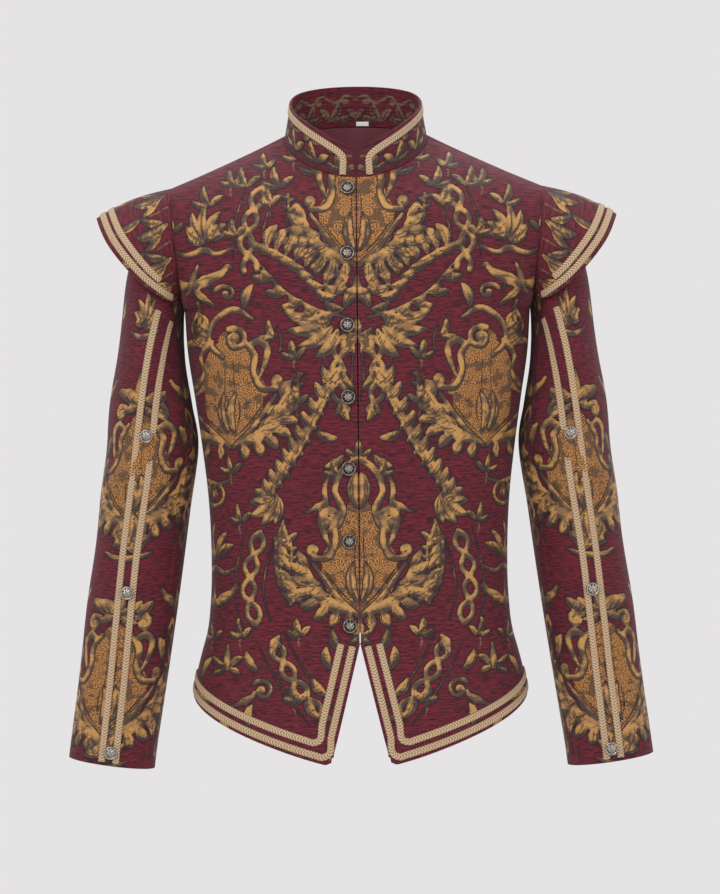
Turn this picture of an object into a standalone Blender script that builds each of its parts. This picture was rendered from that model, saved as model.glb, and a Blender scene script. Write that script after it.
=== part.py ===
"""A fitted jacquard jacket in the style of an old doublet, in the hollow form that it has when worn.

It has a stand collar, two fronts that meet edge to edge, a back, two-piece sleeves, stiff wings over
the sleeve heads, and a short peplum in four panels that part at the centre front and back. Flat braid
edges the collar, the wings and the peplum, and runs down each sleeve in a pair. Thirteen metal
buttons stay as they are sewn. Left and right are the wearer's.

Frame: +X is the wearer's left, the front faces -Y, +Z is up. The origin lies on the centre line
between the shoulder points of the neck, where the wearer's shoulders hold the jacket.
"""

import math
from collections import namedtuple

import bpy
import numpy as np
from mathutils.bvhtree import BVHTree
from mathutils.kdtree import KDTree

MM = 0.001

# Driving dimensions, in millimetres.
WALL = 2.0
SEAM_GAP = 0.3
SAME_PLACE = 0.02
TRIM_LIFT = 0.9
BRAID_WIDTH = 8.0
BRAID_THICKNESS = 1.2
BRAID_STEP = 7.0
FOLD_STEP = 2.5
BRAID_START_ROW = 0.12
BRAID_CORNER_STEP = 0.4
BRAID_END_STEP = 0.08
COLLAR_BRAID_TURN = 10.0
LINING_WALL = 1.0
UNDERARM_HEIGHT = -190.0
WAIST_HEIGHT = -553.0
WAIST_POINT = 12.0
WAIST_POINT_WIDTH = 38.0
SIDE_HEM_HEIGHT = -624.5
HEM_POINT = 75.0
HEM_CURVE = 1.15
PEPLUM_GAP_SLOPE = 0.245
BACK_GAP_SLOPE = 0.27
CORNER_RADIUS = 9.0
CORNER_POWER = 12
SQUARENESS = 2.4
SHOULDER_SPREAD = 90.0
SHOULDER_RISE = 110.0
FIELD_FADE = 0.3
ARMHOLE_TURN = 6
SHARP_ANGLE = 50.0

# A ranking of places, by which both walls of a seam split their rims alike.
RANKING = (1.0, 0.1, 0.6)

# Body sections from the underarm down to the hem.
Section = namedtuple("Section", "height half_width front back")
BODY = (
    Section(-190, 198, 122, 112),
    Section(-236, 195, 124, 107),
    Section(-290, 187, 121, 99),
    Section(-340, 180, 116, 92),
    Section(-400, 173, 111, 87),
    Section(-460, 170, 107, 86),
    Section(-520, 171, 106, 89),
    Section(-556, 175, 107, 94),
    Section(-582, 182, 112, 101),
    Section(-616, 190, 119, 109),
    Section(-650, 194, 124, 114),
    Section(-700, 198, 128, 118),
)

# Centre lines above the underarm: how far each lies from the middle of the body.
Depth = namedtuple("Depth", "height depth")
FRONT_CENTRE = (
    Depth(-236, 124),
    Depth(-190, 122),
    Depth(-150, 119),
    Depth(-100, 110),
    Depth(-45, 88),
)
BACK_CENTRE = (
    Depth(-236, 107),
    Depth(-190, 112),
    Depth(-140, 115),
    Depth(-90, 111),
    Depth(-40, 98),
    Depth(0, 79),
    Depth(28, 60),
)

# The neck seam and the top edge of the collar, as two half ellipses each, seen from above.
Neck = namedtuple(
    "Neck", "half_width middle front back side_height front_height back_height front_power back_power"
)
NECK_SEAM = Neck(82, 2, 90, 58, 8, -45, 28, 1.2, 0.8)
COLLAR_TOP = Neck(75, -2, 84, 56, 46, -16.5, 74.5, 0.48, 0.7)
COLLAR_OPENING = 5.5

# The armhole is an ellipse that leans out towards the shoulder.
Armhole = namedtuple("Armhole", "middle_x lean middle_y depth middle_height half_height")
ARMHOLE = Armhole(205.5, 7.5, 3, 60, -119, 71)

# Sleeve rings from the sleeve head to the cuff: the inner and outer ends of each.
Ring = namedtuple("Ring", "inner_x inner_height outer_x outer_height half_depth middle_y")
SLEEVE = (
    Ring(199.0, -187, 214.0, -52, 56, 3),
    Ring(199.3, -191, 229.0, -62, 57, 3),
    Ring(199.6, -196, 243.5, -81, 59, 3),
    Ring(199.9, -203, 255.5, -111, 61, 3),
    Ring(200.0, -213, 264.0, -150, 63, 3),
    Ring(199.7, -228, 269.5, -196, 65, 2),
    Ring(197.5, -256, 276.0, -240, 66, 1),
    Ring(190.8, -297, 283.0, -290, 65, 0),
    Ring(184.0, -345, 289.5, -333, 63, -1),
    Ring(193.4, -415, 296.2, -401, 59, -4),
    Ring(202.5, -484, 305.0, -470, 56, -8),
    Ring(212.0, -552, 313.4, -538, 53, -14),
    Ring(222.3, -621, 321.2, -607, 50, -21),
    Ring(231.4, -680, 328.8, -666, 46, -28),
    Ring(235.2, -710, 332.5, -696, 44, -31),
)
FRONT_SEAM_ANGLE = 144
BACK_SEAM_ANGLE = 252
WING_BACK_EASE = 3.0

# The free edge of a wing, from the front of the armhole up to the shoulder; the back mirrors it.
Edge = namedtuple("Edge", "along root_angle out_x front height")
WING_EDGE = (
    Edge(0.00, -57, 206, 51, -180),
    Edge(0.12, -38, 221, 67, -176),
    Edge(0.25, -8, 253, 74, -151),
    Edge(0.38, 38, 283, 54, -114),
    Edge(0.50, 90, 299, 0, -81),
)
WING_EDGE += tuple(
    Edge(1 - e.along, 180 - e.root_angle, e.out_x, -e.front - WING_BACK_EASE, e.height)
    for e in reversed(WING_EDGE[:-1])
)
WING_CROWN = 5.0
CROWN_OUT = 0.5
CROWN_UP = 0.8
WING_BRAID_END = 0.25

# Braid lines, as distances in from the edge that they follow.
WING_BRAIDS = (9.0, 20.0)
PEPLUM_BRAIDS = (7.5, 20.5)

# The collar braid: the angle round the neck from the centre front, and the share of the height.
Step = namedtuple("Step", "angle share")
COLLAR_BRAID = (
    Step(10.5, 0.05),
    Step(10.5, 0.28),
    Step(10.5, 0.50),
    Step(12.0, 0.63),
    Step(16.0, 0.70),
    Step(24.0, 0.745),
    Step(40.0, 0.79),
    Step(60.0, 0.83),
    Step(90.0, 0.865),
    Step(130.0, 0.885),
    Step(180.0, 0.885),
)

# The pair of braids on a sleeve, as angles round it: 0 is the outer end of a ring, 90 the front.
Line = namedtuple("Line", "height outer inner")
SLEEVE_BRAIDS = (
    Line(-182, 104.0, 131.0),
    Line(-237, 91.7, 116.7),
    Line(-285, 82.5, 103.5),
    Line(-333, 76.4, 95.0),
    Line(-395, 74.5, 93.4),
    Line(-464, 73.9, 91.5),
    Line(-542, 76.0, 93.3),
    Line(-624, 78.5, 96.3),
    Line(-701, 80.3, 98.6),
)

FRONT_BUTTON_HEIGHTS = (-54, -129.5, -212, -291.5, -371, -452.5, -547)
FRONT_BUTTON_FROM_EDGE = 11.0
FRONT_BUTTON_DIAMETER = 16.5
SLEEVE_BUTTON_HEIGHTS = (-334, -510, -686)
SLEEVE_BUTTON_DIAMETER = 15.0
SLEEVE_BUTTON_TURN = 2.0
BUTTON_SIDES = 10
BUTTON_REST = 0.8
# From the foot of the shank to the dome: the share of the radius, and the height.
BUTTON_PROFILE = ((0.24, 0.0), (0.24, 1.5), (1.0, 2.1), (0.92, 3.9), (0.78, 3.4), (0.4, 4.2))

LABEL_WIDTH = 15.0
LABEL_HEIGHT = 5.0
LABEL_THICKNESS = 0.8
LABEL_OFFSET = 8.0
LABEL_ROW = 0.05

# How finely the cloth is divided.
ACROSS = 12
LOWER_ROWS = 11
EDGE_ROWS = 4
NECK_ROWS = 6
PEPLUM_ROWS = 5
SLEEVE_SIDES = 20
WING_ACROSS = 20
WING_ROWS = 4
COLLAR_ROWS = 3
COLLAR_STEPS = 24
LINING_ROWS = 2
LINING_STEPS = 5
LINING_TOP = LOWER_ROWS + EDGE_ROWS
# The upper part of the back between the shoulders, where the lining shows in the neck.
LINING_WINDOW = np.s_[LINING_TOP - LINING_ROWS : LINING_TOP + 1, : LINING_STEPS + 1]

BURGUNDY = (0.40, 0.17, 0.20)
LINING_ROSE = (0.42, 0.22, 0.25)
BRAID_STRAW = (0.68, 0.58, 0.46)
OLD_SILVER = (0.52, 0.50, 0.48)
TAB_WHITE = (0.90, 0.90, 0.89)


def column(table, name):
    return np.array([getattr(row, name) for row in table], float)


def follow(table, key, name, at):
    """Read one column of a table at any value of its key, on a smooth curve through the rows."""
    keys, values = column(table, key), column(table, name)
    if keys[0] > keys[-1]:
        keys, values = keys[::-1], values[::-1]
    slopes = np.gradient(values, keys)
    at = min(max(at, keys[0]), keys[-1])
    i = min(int(np.searchsorted(keys, at, side="right")) - 1, len(keys) - 2)
    span = keys[i + 1] - keys[i]
    t = (at - keys[i]) / span
    return (
        (1 + 2 * t) * (1 - t) ** 2 * values[i]
        + t * (1 - t) ** 2 * span * slopes[i]
        + t * t * (3 - 2 * t) * values[i + 1]
        + t * t * (t - 1) * span * slopes[i + 1]
    )


def quarter(share):
    """Sideways and depth shares of a squared quarter round, 0 at the centre line to 1 at the side."""
    turn = math.radians(90 * share)
    power = 2 / SQUARENESS
    return math.sin(turn) ** power, max(math.cos(turn), 0.0) ** power


def waist_height(sideways):
    """The waist seam dips to a soft point at the centre."""
    x = sideways * follow(BODY, "height", "half_width", WAIST_HEIGHT)
    return WAIST_HEIGHT - WAIST_POINT * math.exp(-((x / WAIST_POINT_WIDTH) ** 2))


def lower_point(side, share, rise):
    """A point of the body between the waist seam, rise 0, and the underarm, rise 1."""
    sideways, depth = quarter(share)
    start = waist_height(sideways)
    height = start + (UNDERARM_HEIGHT - start) * rise
    half_width = follow(BODY, "height", "half_width", height)
    reach = follow(BODY, "height", "front" if side < 0 else "back", height)
    return np.array([half_width * sideways, side * reach * depth, height])


def armhole_point(angle):
    """A point of the left armhole: -90 at the underarm, 0 at the front, 90 at the shoulder."""
    turn = math.radians(angle)
    rise = math.sin(turn)
    return np.array(
        [
            ARMHOLE.middle_x + ARMHOLE.lean * rise,
            ARMHOLE.middle_y * (1 + rise) / 2 - ARMHOLE.depth * math.cos(turn),
            ARMHOLE.middle_height + ARMHOLE.half_height * rise,
        ]
    )


def neck_point(angle):
    """A point of the neck seam, 0 at the centre front, 90 at the left shoulder, 180 at the back."""
    turn = math.radians(angle)
    n = NECK_SEAM
    c = math.cos(turn)
    if c > 0:
        y = n.middle - n.front * c
        z = n.side_height + (n.front_height - n.side_height) * c**n.front_power
    else:
        y = n.middle - n.back * c
        z = n.side_height + (n.back_height - n.side_height) * (-c) ** n.back_power
    return np.array([n.half_width * math.sin(turn), y, z])


def collar_top_point(angle):
    turn = math.radians(angle)
    n = COLLAR_TOP
    c = math.cos(turn)
    if c > 0:
        y = n.middle - n.front * c
        z = n.front_height + (n.side_height - n.front_height) * (1 - c) ** n.front_power
    else:
        y = n.middle - n.back * c
        z = n.side_height + (n.back_height - n.side_height) * (-c) ** n.back_power
    return np.array([n.half_width * math.sin(turn), y, z])


def chest_depth(side, x, height):
    """How far the chest or the back would lie from the middle, if the body went on under the arms."""
    table = FRONT_CENTRE if side < 0 else BACK_CENTRE
    spread = 1 - math.exp(-((max(0.0, height - UNDERARM_HEIGHT) / SHOULDER_RISE) ** 2))
    half_width = BODY[0].half_width + SHOULDER_SPREAD * spread
    round_off = max(0.0, 1 - (x / half_width) ** SQUARENESS) ** (1 / SQUARENESS)
    return side * follow(table, "height", "depth", height) * round_off


def upper_point(side, share, row):
    """A point above the underarm: the rows run from the centre or the neck out to the armhole."""
    rise = row / (EDGE_ROWS + NECK_ROWS)
    angle = -90 + 180 * rise
    end = armhole_point(angle if side < 0 else 180 - angle)
    if row <= EDGE_ROWS:
        top = NECK_SEAM.front_height if side < 0 else NECK_SEAM.back_height
        height = UNDERARM_HEIGHT + (top - UNDERARM_HEIGHT) * row / EDGE_ROWS
        start = np.array([0.0, chest_depth(side, 0.0, height), height])
    else:
        turn = 90 * (row - EDGE_ROWS) / NECK_ROWS
        start = neck_point(turn if side < 0 else 180 - turn)
    sideways = quarter(share)[0]
    point = start + (end - start) * sideways
    first, last, here = (chest_depth(side, p[0], p[2]) for p in (start, end, point))
    rounded = here + (start[1] - first) * (1 - sideways) + (end[1] - last) * sideways**ARMHOLE_TURN
    fade = min(max((rise - FIELD_FADE) / (1 - FIELD_FADE), 0.0), 1.0)
    fullness = 1 - fade * fade * (3 - 2 * fade)
    point[1] += fullness * (rounded - point[1])
    return point


def half_body(side):
    """The grid of one half of the front or the back, from the waist seam up, centre to side."""
    shares = np.linspace(0, 1, ACROSS + 1)
    lower = [
        [lower_point(side, share, row / LOWER_ROWS) for share in shares]
        for row in range(LOWER_ROWS + 1)
    ]
    upper = [
        [upper_point(side, share, row) for share in shares]
        for row in range(1, EDGE_ROWS + NECK_ROWS + 1)
    ]
    return np.array(lower + upper)


def hem_height(share):
    return SIDE_HEM_HEIGHT - HEM_POINT * (1 - share) ** HEM_CURVE


def peplum_point(side, share, drop):
    """A point of a peplum panel, drop 0 at the waist seam and 1 at the hem."""
    sideways, depth = quarter(share)
    start = waist_height(sideways)
    height = start + (hem_height(share) - start) * drop
    half_width = follow(BODY, "height", "half_width", height)
    reach = follow(BODY, "height", "front" if side < 0 else "back", height)
    slope = PEPLUM_GAP_SLOPE if side < 0 else BACK_GAP_SLOPE
    edge = slope * max(0.0, waist_height(0.0) - height)
    x = edge + (half_width - edge) * sideways
    from_edge = x - edge
    if from_edge < CORNER_RADIUS:
        bend = CORNER_RADIUS - math.sqrt(CORNER_RADIUS**2 - (CORNER_RADIUS - from_edge) ** 2)
        height += bend * drop**CORNER_POWER
    y = side * reach * max(0.0, 1 - (x / half_width) ** SQUARENESS) ** (1 / SQUARENESS)
    return np.array([x, y, height])


def half_peplum(side):
    return np.array(
        [
            [peplum_point(side, share, row / PEPLUM_ROWS) for share in np.linspace(0, 1, ACROSS + 1)]
            for row in range(PEPLUM_ROWS + 1)
        ]
    )


def collar_grid():
    """From the wearer's left front edge round the back to the right front edge, seam to top."""
    rows = []
    for share in np.linspace(0, 1, COLLAR_ROWS + 1):
        first = math.degrees(math.asin(COLLAR_OPENING * share / COLLAR_TOP.half_width))
        row = []
        for angle in np.linspace(first, 360 - first, COLLAR_STEPS + 1):
            low, high = neck_point(angle % 360), collar_top_point(angle % 360)
            row.append(low + (high - low) * share)
        rows.append(row)
    return np.array(rows)


def sleeve_point(place, angle):
    """A point of the left sleeve; place counts the rings, angle 0 is the outer end, 90 the front."""
    ring = Ring(*(follow_rings(name, place) for name in Ring._fields))
    turn = math.radians(angle)
    out = (1 + math.cos(turn)) / 2
    return np.array(
        [
            ring.inner_x + (ring.outer_x - ring.inner_x) * out,
            ring.middle_y - ring.half_depth * math.sin(turn),
            ring.inner_height + (ring.outer_height - ring.inner_height) * out,
        ]
    )


def follow_rings(name, place):
    """A ring's value between two rows of the sleeve table."""
    i = min(int(place), len(SLEEVE) - 2)
    low, high = getattr(SLEEVE[i], name), getattr(SLEEVE[i + 1], name)
    return low + (high - low) * (place - i)


def sleeve_grid(first, last):
    steps = round((last - first) * SLEEVE_SIDES / 360)
    angles = np.linspace(first, last, steps + 1)
    return np.array([[sleeve_point(place, angle) for angle in angles] for place in range(len(SLEEVE))])


def wing_point(along, out):
    """A point of the left wing; along runs over the shoulder from front to back, out to its edge."""
    angle, out_x, front, height = (
        follow(WING_EDGE, "along", name, along) for name in ("root_angle", "out_x", "front", "height")
    )
    root = armhole_point(angle) + (SEAM_GAP, 0, 0)
    tip = np.array([out_x, ARMHOLE.middle_y - front, height])
    turn = math.radians(angle)
    outward = np.array([CROWN_OUT, -math.cos(turn), CROWN_UP * math.sin(turn)])
    crown = WING_CROWN * math.sin(math.pi * out) * math.sin(math.pi * along)
    return root + (tip - root) * out + crown * outward / np.linalg.norm(outward)


def wing_grid():
    return np.array(
        [
            [wing_point(along, out) for along in np.linspace(0, 1, WING_ACROSS + 1)]
            for out in np.linspace(0, 1, WING_ROWS + 1)
        ]
    )


class Cloth:
    """A cut piece: the grid of its face, and the direction out of the cloth at each point."""

    def __init__(self, name, grid, centre, joined=0):
        self.name = name
        self.grid = grid
        self.joined = joined  # rows of the first column that run on into the mirrored half
        self.centre = np.array(centre, float)
        self.out = self.directions()

    def directions(self):
        along = np.gradient(self.grid, axis=0)
        across = np.gradient(self.grid, axis=1)
        out = np.cross(across, along)
        if ((out * (self.grid - self.centre)).sum(axis=-1)).mean() < 0:
            out = -out
        length = np.linalg.norm(out, axis=-1, keepdims=True)
        return out / np.maximum(length, 1e-9)

    def at(self, row, step):
        """Point and direction between the grid's own points, on the same two triangles."""
        i = min(int(row), self.grid.shape[0] - 2)
        j = min(int(step), self.grid.shape[1] - 2)
        r, s = row - i, step - j
        if s >= r:
            weights = {(i, j): 1 - s, (i, j + 1): s - r, (i + 1, j + 1): r}
        else:
            weights = {(i, j): 1 - r, (i + 1, j): r - s, (i + 1, j + 1): s}
        point = sum(weight * self.grid[cell] for cell, weight in weights.items())
        out = sum(weight * self.out[cell] for cell, weight in weights.items())
        return point, out / np.linalg.norm(out)

    def flatten_edge(self, row, axis):
        """Keep the wall beside a seam from leaning across it."""
        self.out[row, :, axis] = 0
        self.out[row] /= np.linalg.norm(self.out[row], axis=-1, keepdims=True)

    def inset(self):
        """Each edge moved in by half the seam gap, the same way on both faces."""
        grid = self.grid
        moved = grid.copy()
        moved[0] += self.step_in(grid[0], grid[1])
        moved[-1] += self.step_in(grid[-1], grid[-2])
        moved[:, -1] += self.step_in(grid[:, -1], grid[:, -2])
        free = np.s_[self.joined :]
        moved[free, 0] += self.step_in(grid[free, 0], grid[free, 1])
        if 0 < self.joined < len(grid):
            top = self.joined - 1
            moved[top, 0] += self.step_in(grid[top, 0], grid[top - 1, 0])
        return moved

    @staticmethod
    def step_in(edge, inner):
        way = inner - edge
        return way / np.linalg.norm(way, axis=-1, keepdims=True) * SEAM_GAP / 2

    def mirrored(self, name):
        flip = np.array([-1.0, 1.0, 1.0])
        twin = Cloth(name, self.grid * flip, self.centre * flip, self.joined)
        twin.out = self.out * flip
        return twin


def share_directions(pieces):
    """Where pieces meet at a seam both take one direction, so that their walls stay parallel."""
    points = np.concatenate([piece.grid.reshape(-1, 3) for piece in pieces])
    outs = np.concatenate([piece.out.reshape(-1, 3) for piece in pieces])
    tree = KDTree(len(points))
    for k, point in enumerate(points):
        tree.insert(point, k)
    tree.balance()
    shared = [sum(outs[found[1]] for found in tree.find_range(point, SAME_PLACE)) for point in points]
    shared = np.array(shared)
    shared /= np.linalg.norm(shared, axis=-1, keepdims=True)
    start = 0
    for piece in pieces:
        count = piece.grid.size // 3
        piece.out = shared[start : start + count].reshape(piece.grid.shape)
        start += count


def srgb(colour):
    return [c / 12.92 if c <= 0.04045 else ((c + 0.055) / 1.055) ** 2.4 for c in colour] + [1.0]


def make_material(name, colour, roughness, metallic=0.0):
    material = bpy.data.materials.new(name)
    material.use_nodes = True
    shader = material.node_tree.nodes["Principled BSDF"]
    shader.inputs["Base Color"].default_value = srgb(colour)
    shader.inputs["Roughness"].default_value = roughness
    shader.inputs["Metallic"].default_value = metallic
    return material


def add_solid(name, points, faces, material):
    """One closed body with its faces turned out, in metres."""
    points = np.asarray(points, float) * MM
    volume = 0.0
    for face in faces:
        for k in range(1, len(face) - 1):
            a, b, c = points[face[0]], points[face[k]], points[face[k + 1]]
            volume += float(np.dot(a, np.cross(b, c)))
    if volume < 0:
        faces = [tuple(reversed(face)) for face in faces]
    mesh = bpy.data.meshes.new(name)
    mesh.from_pydata([tuple(p) for p in points], [], faces)
    mesh.materials.append(material)
    mesh.shade_smooth()
    mesh.set_sharp_from_angle(angle=math.radians(SHARP_ANGLE))
    thing = bpy.data.objects.new(name, mesh)
    bpy.context.scene.collection.objects.link(thing)
    return thing


def halves(quad, first):
    """A four-sided face as two triangles, split from its first corner or from its second."""
    a, b, c, d = quad
    return [(a, b, c), (a, c, d)] if first else [(a, b, d), (b, c, d)]


def face_triangles(piece):
    """The two triangles of each cell of a piece, wound so that they face out of the cloth."""
    rows, steps = piece.grid.shape[:2]
    cells = [
        (i * steps + j, i * steps + j + 1, (i + 1) * steps + j + 1, (i + 1) * steps + j)
        for i in range(rows - 1)
        for j in range(steps - 1)
    ]
    triangles = np.array([half for cell in cells for half in halves(cell, True)])
    corners = piece.grid.reshape(-1, 3)[triangles]
    way = np.cross(corners[:, 1] - corners[:, 0], corners[:, 2] - corners[:, 0])
    if (way * piece.out.reshape(-1, 3)[triangles[:, 0]]).sum() < 0:
        triangles = triangles[:, ::-1]
    return triangles


def sew(pieces, material, lift=0.0, wall=WALL):
    """Turn a cut piece, or two mirrored halves of one, into a wall with its face moved out by lift.

    Walls on both sides of a seam split their rims alike, by the same ranking of places.
    """
    face = np.concatenate([(p.inset() + lift * p.out).reshape(-1, 3) for p in pieces])
    out = np.concatenate([p.out.reshape(-1, 3) for p in pieces])
    starts = [0] + [p.grid.size // 3 for p in pieces[:-1]]
    triangles = np.concatenate([face_triangles(p) + start for p, start in zip(pieces, starts)])
    _, first, joined = np.unique(np.round(face, 3), axis=0, return_index=True, return_inverse=True)
    face, out, triangles = face[first], out[first], joined.reshape(-1)[triangles]
    count = len(face)
    rank = np.abs(face) @ RANKING
    faces = [tuple(t) for t in triangles] + [tuple(t + count) for t in triangles[:, ::-1]]
    edges = {(t[k], t[(k + 1) % 3]) for t in triangles for k in range(3)}
    for a, b in sorted(edges):
        if (b, a) not in edges:
            faces += halves((b, a, a + count, b + count), rank[b] > rank[a])
    return add_solid(pieces[0].name, np.concatenate([face, face - wall * out]), faces, material)


def with_folds(path):
    """The path with a point at each fold of the cloth's grid that it crosses, and few others."""
    marked = [(path[0], True)]
    for start, end in zip(path, path[1:]):
        start, end = np.array(start), np.array(end)
        way = end - start
        cuts = set()
        for a, d in zip(start, way):
            for line in range(math.ceil(min(a, a + d)), math.floor(max(a, a + d)) + 1):
                if abs(d) > 1e-6:
                    cuts.add(round((line - a) / d, 6))
        marked += [(tuple(start + way * cut), True) for cut in sorted(cuts) if cut < 1]
        marked.append((tuple(end), 1.0 in cuts))
    marked[-1] = (path[-1], True)
    return marked


def thinned(spots):
    """Leave out a point that lies too close to one at a fold."""
    kept = []
    for k, (point, out, fold) in enumerate(spots):
        near = [np.linalg.norm(point - other[0]) for other in spots[k + 1 : k + 3] if other[2]]
        last = np.linalg.norm(point - kept[-1][0]) if kept else BRAID_STEP
        wanted = FOLD_STEP if fold else BRAID_STEP
        if last < wanted or (not fold and near and min(near) < BRAID_STEP):
            if k == len(spots) - 1:
                kept[-1] = (point, out, fold)
            continue
        kept.append((point, out, fold))
    return kept


def lay_braid(name, piece, path, material):
    """A flat braid along a path of (row, step) places on a piece, a little off the cloth."""
    spots = thinned([(*piece.at(*place), fold) for place, fold in with_folds(path)])
    cloth = BVHTree.FromPolygons(piece.grid.reshape(-1, 3).tolist(), face_triangles(piece).tolist())
    points = []
    for k, (point, out, _) in enumerate(spots):
        before = spots[max(k - 1, 0)][0]
        after = spots[min(k + 1, len(spots) - 1)][0]
        side = np.cross(out, after - before)
        side *= BRAID_WIDTH / 2 / np.linalg.norm(side)
        for across, rise in ((-1, 0), (1, 0), (1, 1), (-1, 1)):
            foot = point + across * side
            above = max(0.0, float(np.dot(np.array(cloth.find_nearest(foot)[0]) - foot, out)))
            points.append(foot + (above + TRIM_LIFT + rise * BRAID_THICKNESS) * out)
    faces = [(0, 1, 2, 3), tuple(4 * (len(spots) - 1) + k for k in (3, 2, 1, 0))]
    for k in range(len(spots) - 1):
        for c in range(4):
            d = (c + 1) % 4
            quad = (4 * k + d, 4 * k + c, 4 * k + 4 + c, 4 * k + 4 + d)
            faces += halves(quad, c % 2 == 0)
    return add_solid(name, points, faces, material)


def add_button(name, point, out, diameter, raised, material):
    """A turned metal button: a shank that is longer by raised, a raised rim and a low dome."""
    radius = diameter / 2
    side = np.cross(out, (0.0, 0.0, 1.0))
    side /= np.linalg.norm(side)
    up = np.cross(side, out)
    base = point + TRIM_LIFT * out
    points = []
    for share, height in BUTTON_PROFILE:
        rise = height + raised if height > 0 else 0.0
        for k in range(BUTTON_SIDES):
            turn = 2 * math.pi * k / BUTTON_SIDES
            spoke = math.cos(turn) * side + math.sin(turn) * up
            points.append(base + rise * out + share * radius * spoke)
    last = len(BUTTON_PROFILE) - 1
    top = last * BUTTON_SIDES
    faces = [tuple(range(BUTTON_SIDES)), tuple(top + k for k in reversed(range(BUTTON_SIDES)))]
    for ring in range(last):
        for k in range(BUTTON_SIDES):
            n = (k + 1) % BUTTON_SIDES
            a, b = ring * BUTTON_SIDES, (ring + 1) * BUTTON_SIDES
            faces.append((a + n, a + k, b + k, b + n))
    return add_solid(name, points, faces, material)


def step_from_edge(distance, width):
    """The step across a panel that lies this far from its centre edge."""
    share = min(distance / width, 1.0) ** (SQUARENESS / 2)
    return ACROSS * math.degrees(math.asin(share)) / 90


def peplum_braid_path(piece, distance):
    """Down beside the front edge, round the corner and along the hem to the side seam."""
    grid = piece.grid
    rows = grid.shape[0] - 1
    path = []
    edge_length = np.linalg.norm(grid[-1, 0] - grid[0, 0])
    last_row = rows * (1 - distance / edge_length)
    for row in (BRAID_START_ROW, last_row / 2, last_row):
        i = min(int(row), rows - 1)
        near, far = (grid[i, c] + (grid[i + 1, c] - grid[i, c]) * (row - i) for c in (0, -1))
        path.append((row, step_from_edge(distance, abs(far[0] - near[0]))))
    first = path[-1][1]
    for step in [*range(math.ceil(first + BRAID_CORNER_STEP), ACROSS), ACROSS - BRAID_END_STEP]:
        j = min(int(step), ACROSS - 1)
        low = grid[-1, j] + (grid[-1, j + 1] - grid[-1, j]) * (step - j)
        high = grid[0, j] + (grid[0, j + 1] - grid[0, j]) * (step - j)
        path.append((rows * (1 - distance / np.linalg.norm(low - high)), step))
    return path


def wing_braid_path(piece, distance):
    """Along the free edge of a wing, for as long as the wing is wide enough to carry it."""
    path = []
    for step in np.linspace(WING_BRAID_END, WING_ACROSS - WING_BRAID_END, 2 * WING_ACROSS):
        j = min(int(step), WING_ACROSS - 1)
        root, tip = (
            piece.grid[row, j] + (piece.grid[row, j + 1] - piece.grid[row, j]) * (step - j)
            for row in (0, -1)
        )
        width = np.linalg.norm(tip - root)
        if width > 1.6 * distance + BRAID_WIDTH:
            path.append((WING_ROWS * (1 - distance / width), step))
    return path


def sleeve_place(height):
    """Where a height lies among the rings, read at their middles."""
    middles = (column(SLEEVE, "inner_height") + column(SLEEVE, "outer_height")) / 2
    return float(np.interp(-height, -middles, range(len(SLEEVE))))


def sleeve_step(angle):
    return (angle + 360 - BACK_SEAM_ANGLE) * SLEEVE_SIDES / 360


def sleeve_braid_path(name):
    heights = column(SLEEVE_BRAIDS, "height")
    return [
        (sleeve_place(height), sleeve_step(follow(SLEEVE_BRAIDS, "height", name, height)))
        for height in heights
    ]


def collar_braid_path():
    """Up the left front edge of the collar, round its top and down the right one."""
    half = []
    for first, second in zip(COLLAR_BRAID, COLLAR_BRAID[1:]):
        parts = max(1, round((second.angle - first.angle) / COLLAR_BRAID_TURN))
        for t in np.arange(parts) / parts:
            angle = first.angle + (second.angle - first.angle) * t
            half.append((angle, first.share + (second.share - first.share) * t))
    path = half + [tuple(COLLAR_BRAID[-1])] + [(360 - angle, share) for angle, share in reversed(half)]
    steps = []
    for angle, share in path:
        first = math.degrees(math.asin(COLLAR_OPENING * share / COLLAR_TOP.half_width))
        steps.append((share * COLLAR_ROWS, (angle - first) / (360 - 2 * first) * COLLAR_STEPS))
    return steps


def front_button_place(piece, height):
    """The row and step of a front button, beside the centre edge."""
    heights = piece.grid[:, 0, 2]
    rows = int(np.argmax(heights >= NECK_SEAM.front_height - 0.01))
    row = float(np.interp(height, heights[: rows + 1], range(rows + 1)))
    width = abs(piece.grid[min(int(row), LOWER_ROWS), -1, 0])
    return row, step_from_edge(FRONT_BUTTON_FROM_EDGE, width)


def label_grid(collar):
    """A short blank tab on the inner face of the collar, just above the neck seam."""
    middle = 180 - math.degrees(math.asin(LABEL_OFFSET / NECK_SEAM.half_width))
    half = math.degrees(LABEL_WIDTH / 2 / NECK_SEAM.half_width)
    tall = COLLAR_TOP.back_height - NECK_SEAM.back_height
    rows = (LABEL_ROW, LABEL_ROW + LABEL_HEIGHT / tall * COLLAR_ROWS)
    angles = (middle + half, middle, middle - half)
    return np.array(
        [[collar.at(row, angle / 360 * COLLAR_STEPS)[0] for angle in angles] for row in rows]
    )


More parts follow.
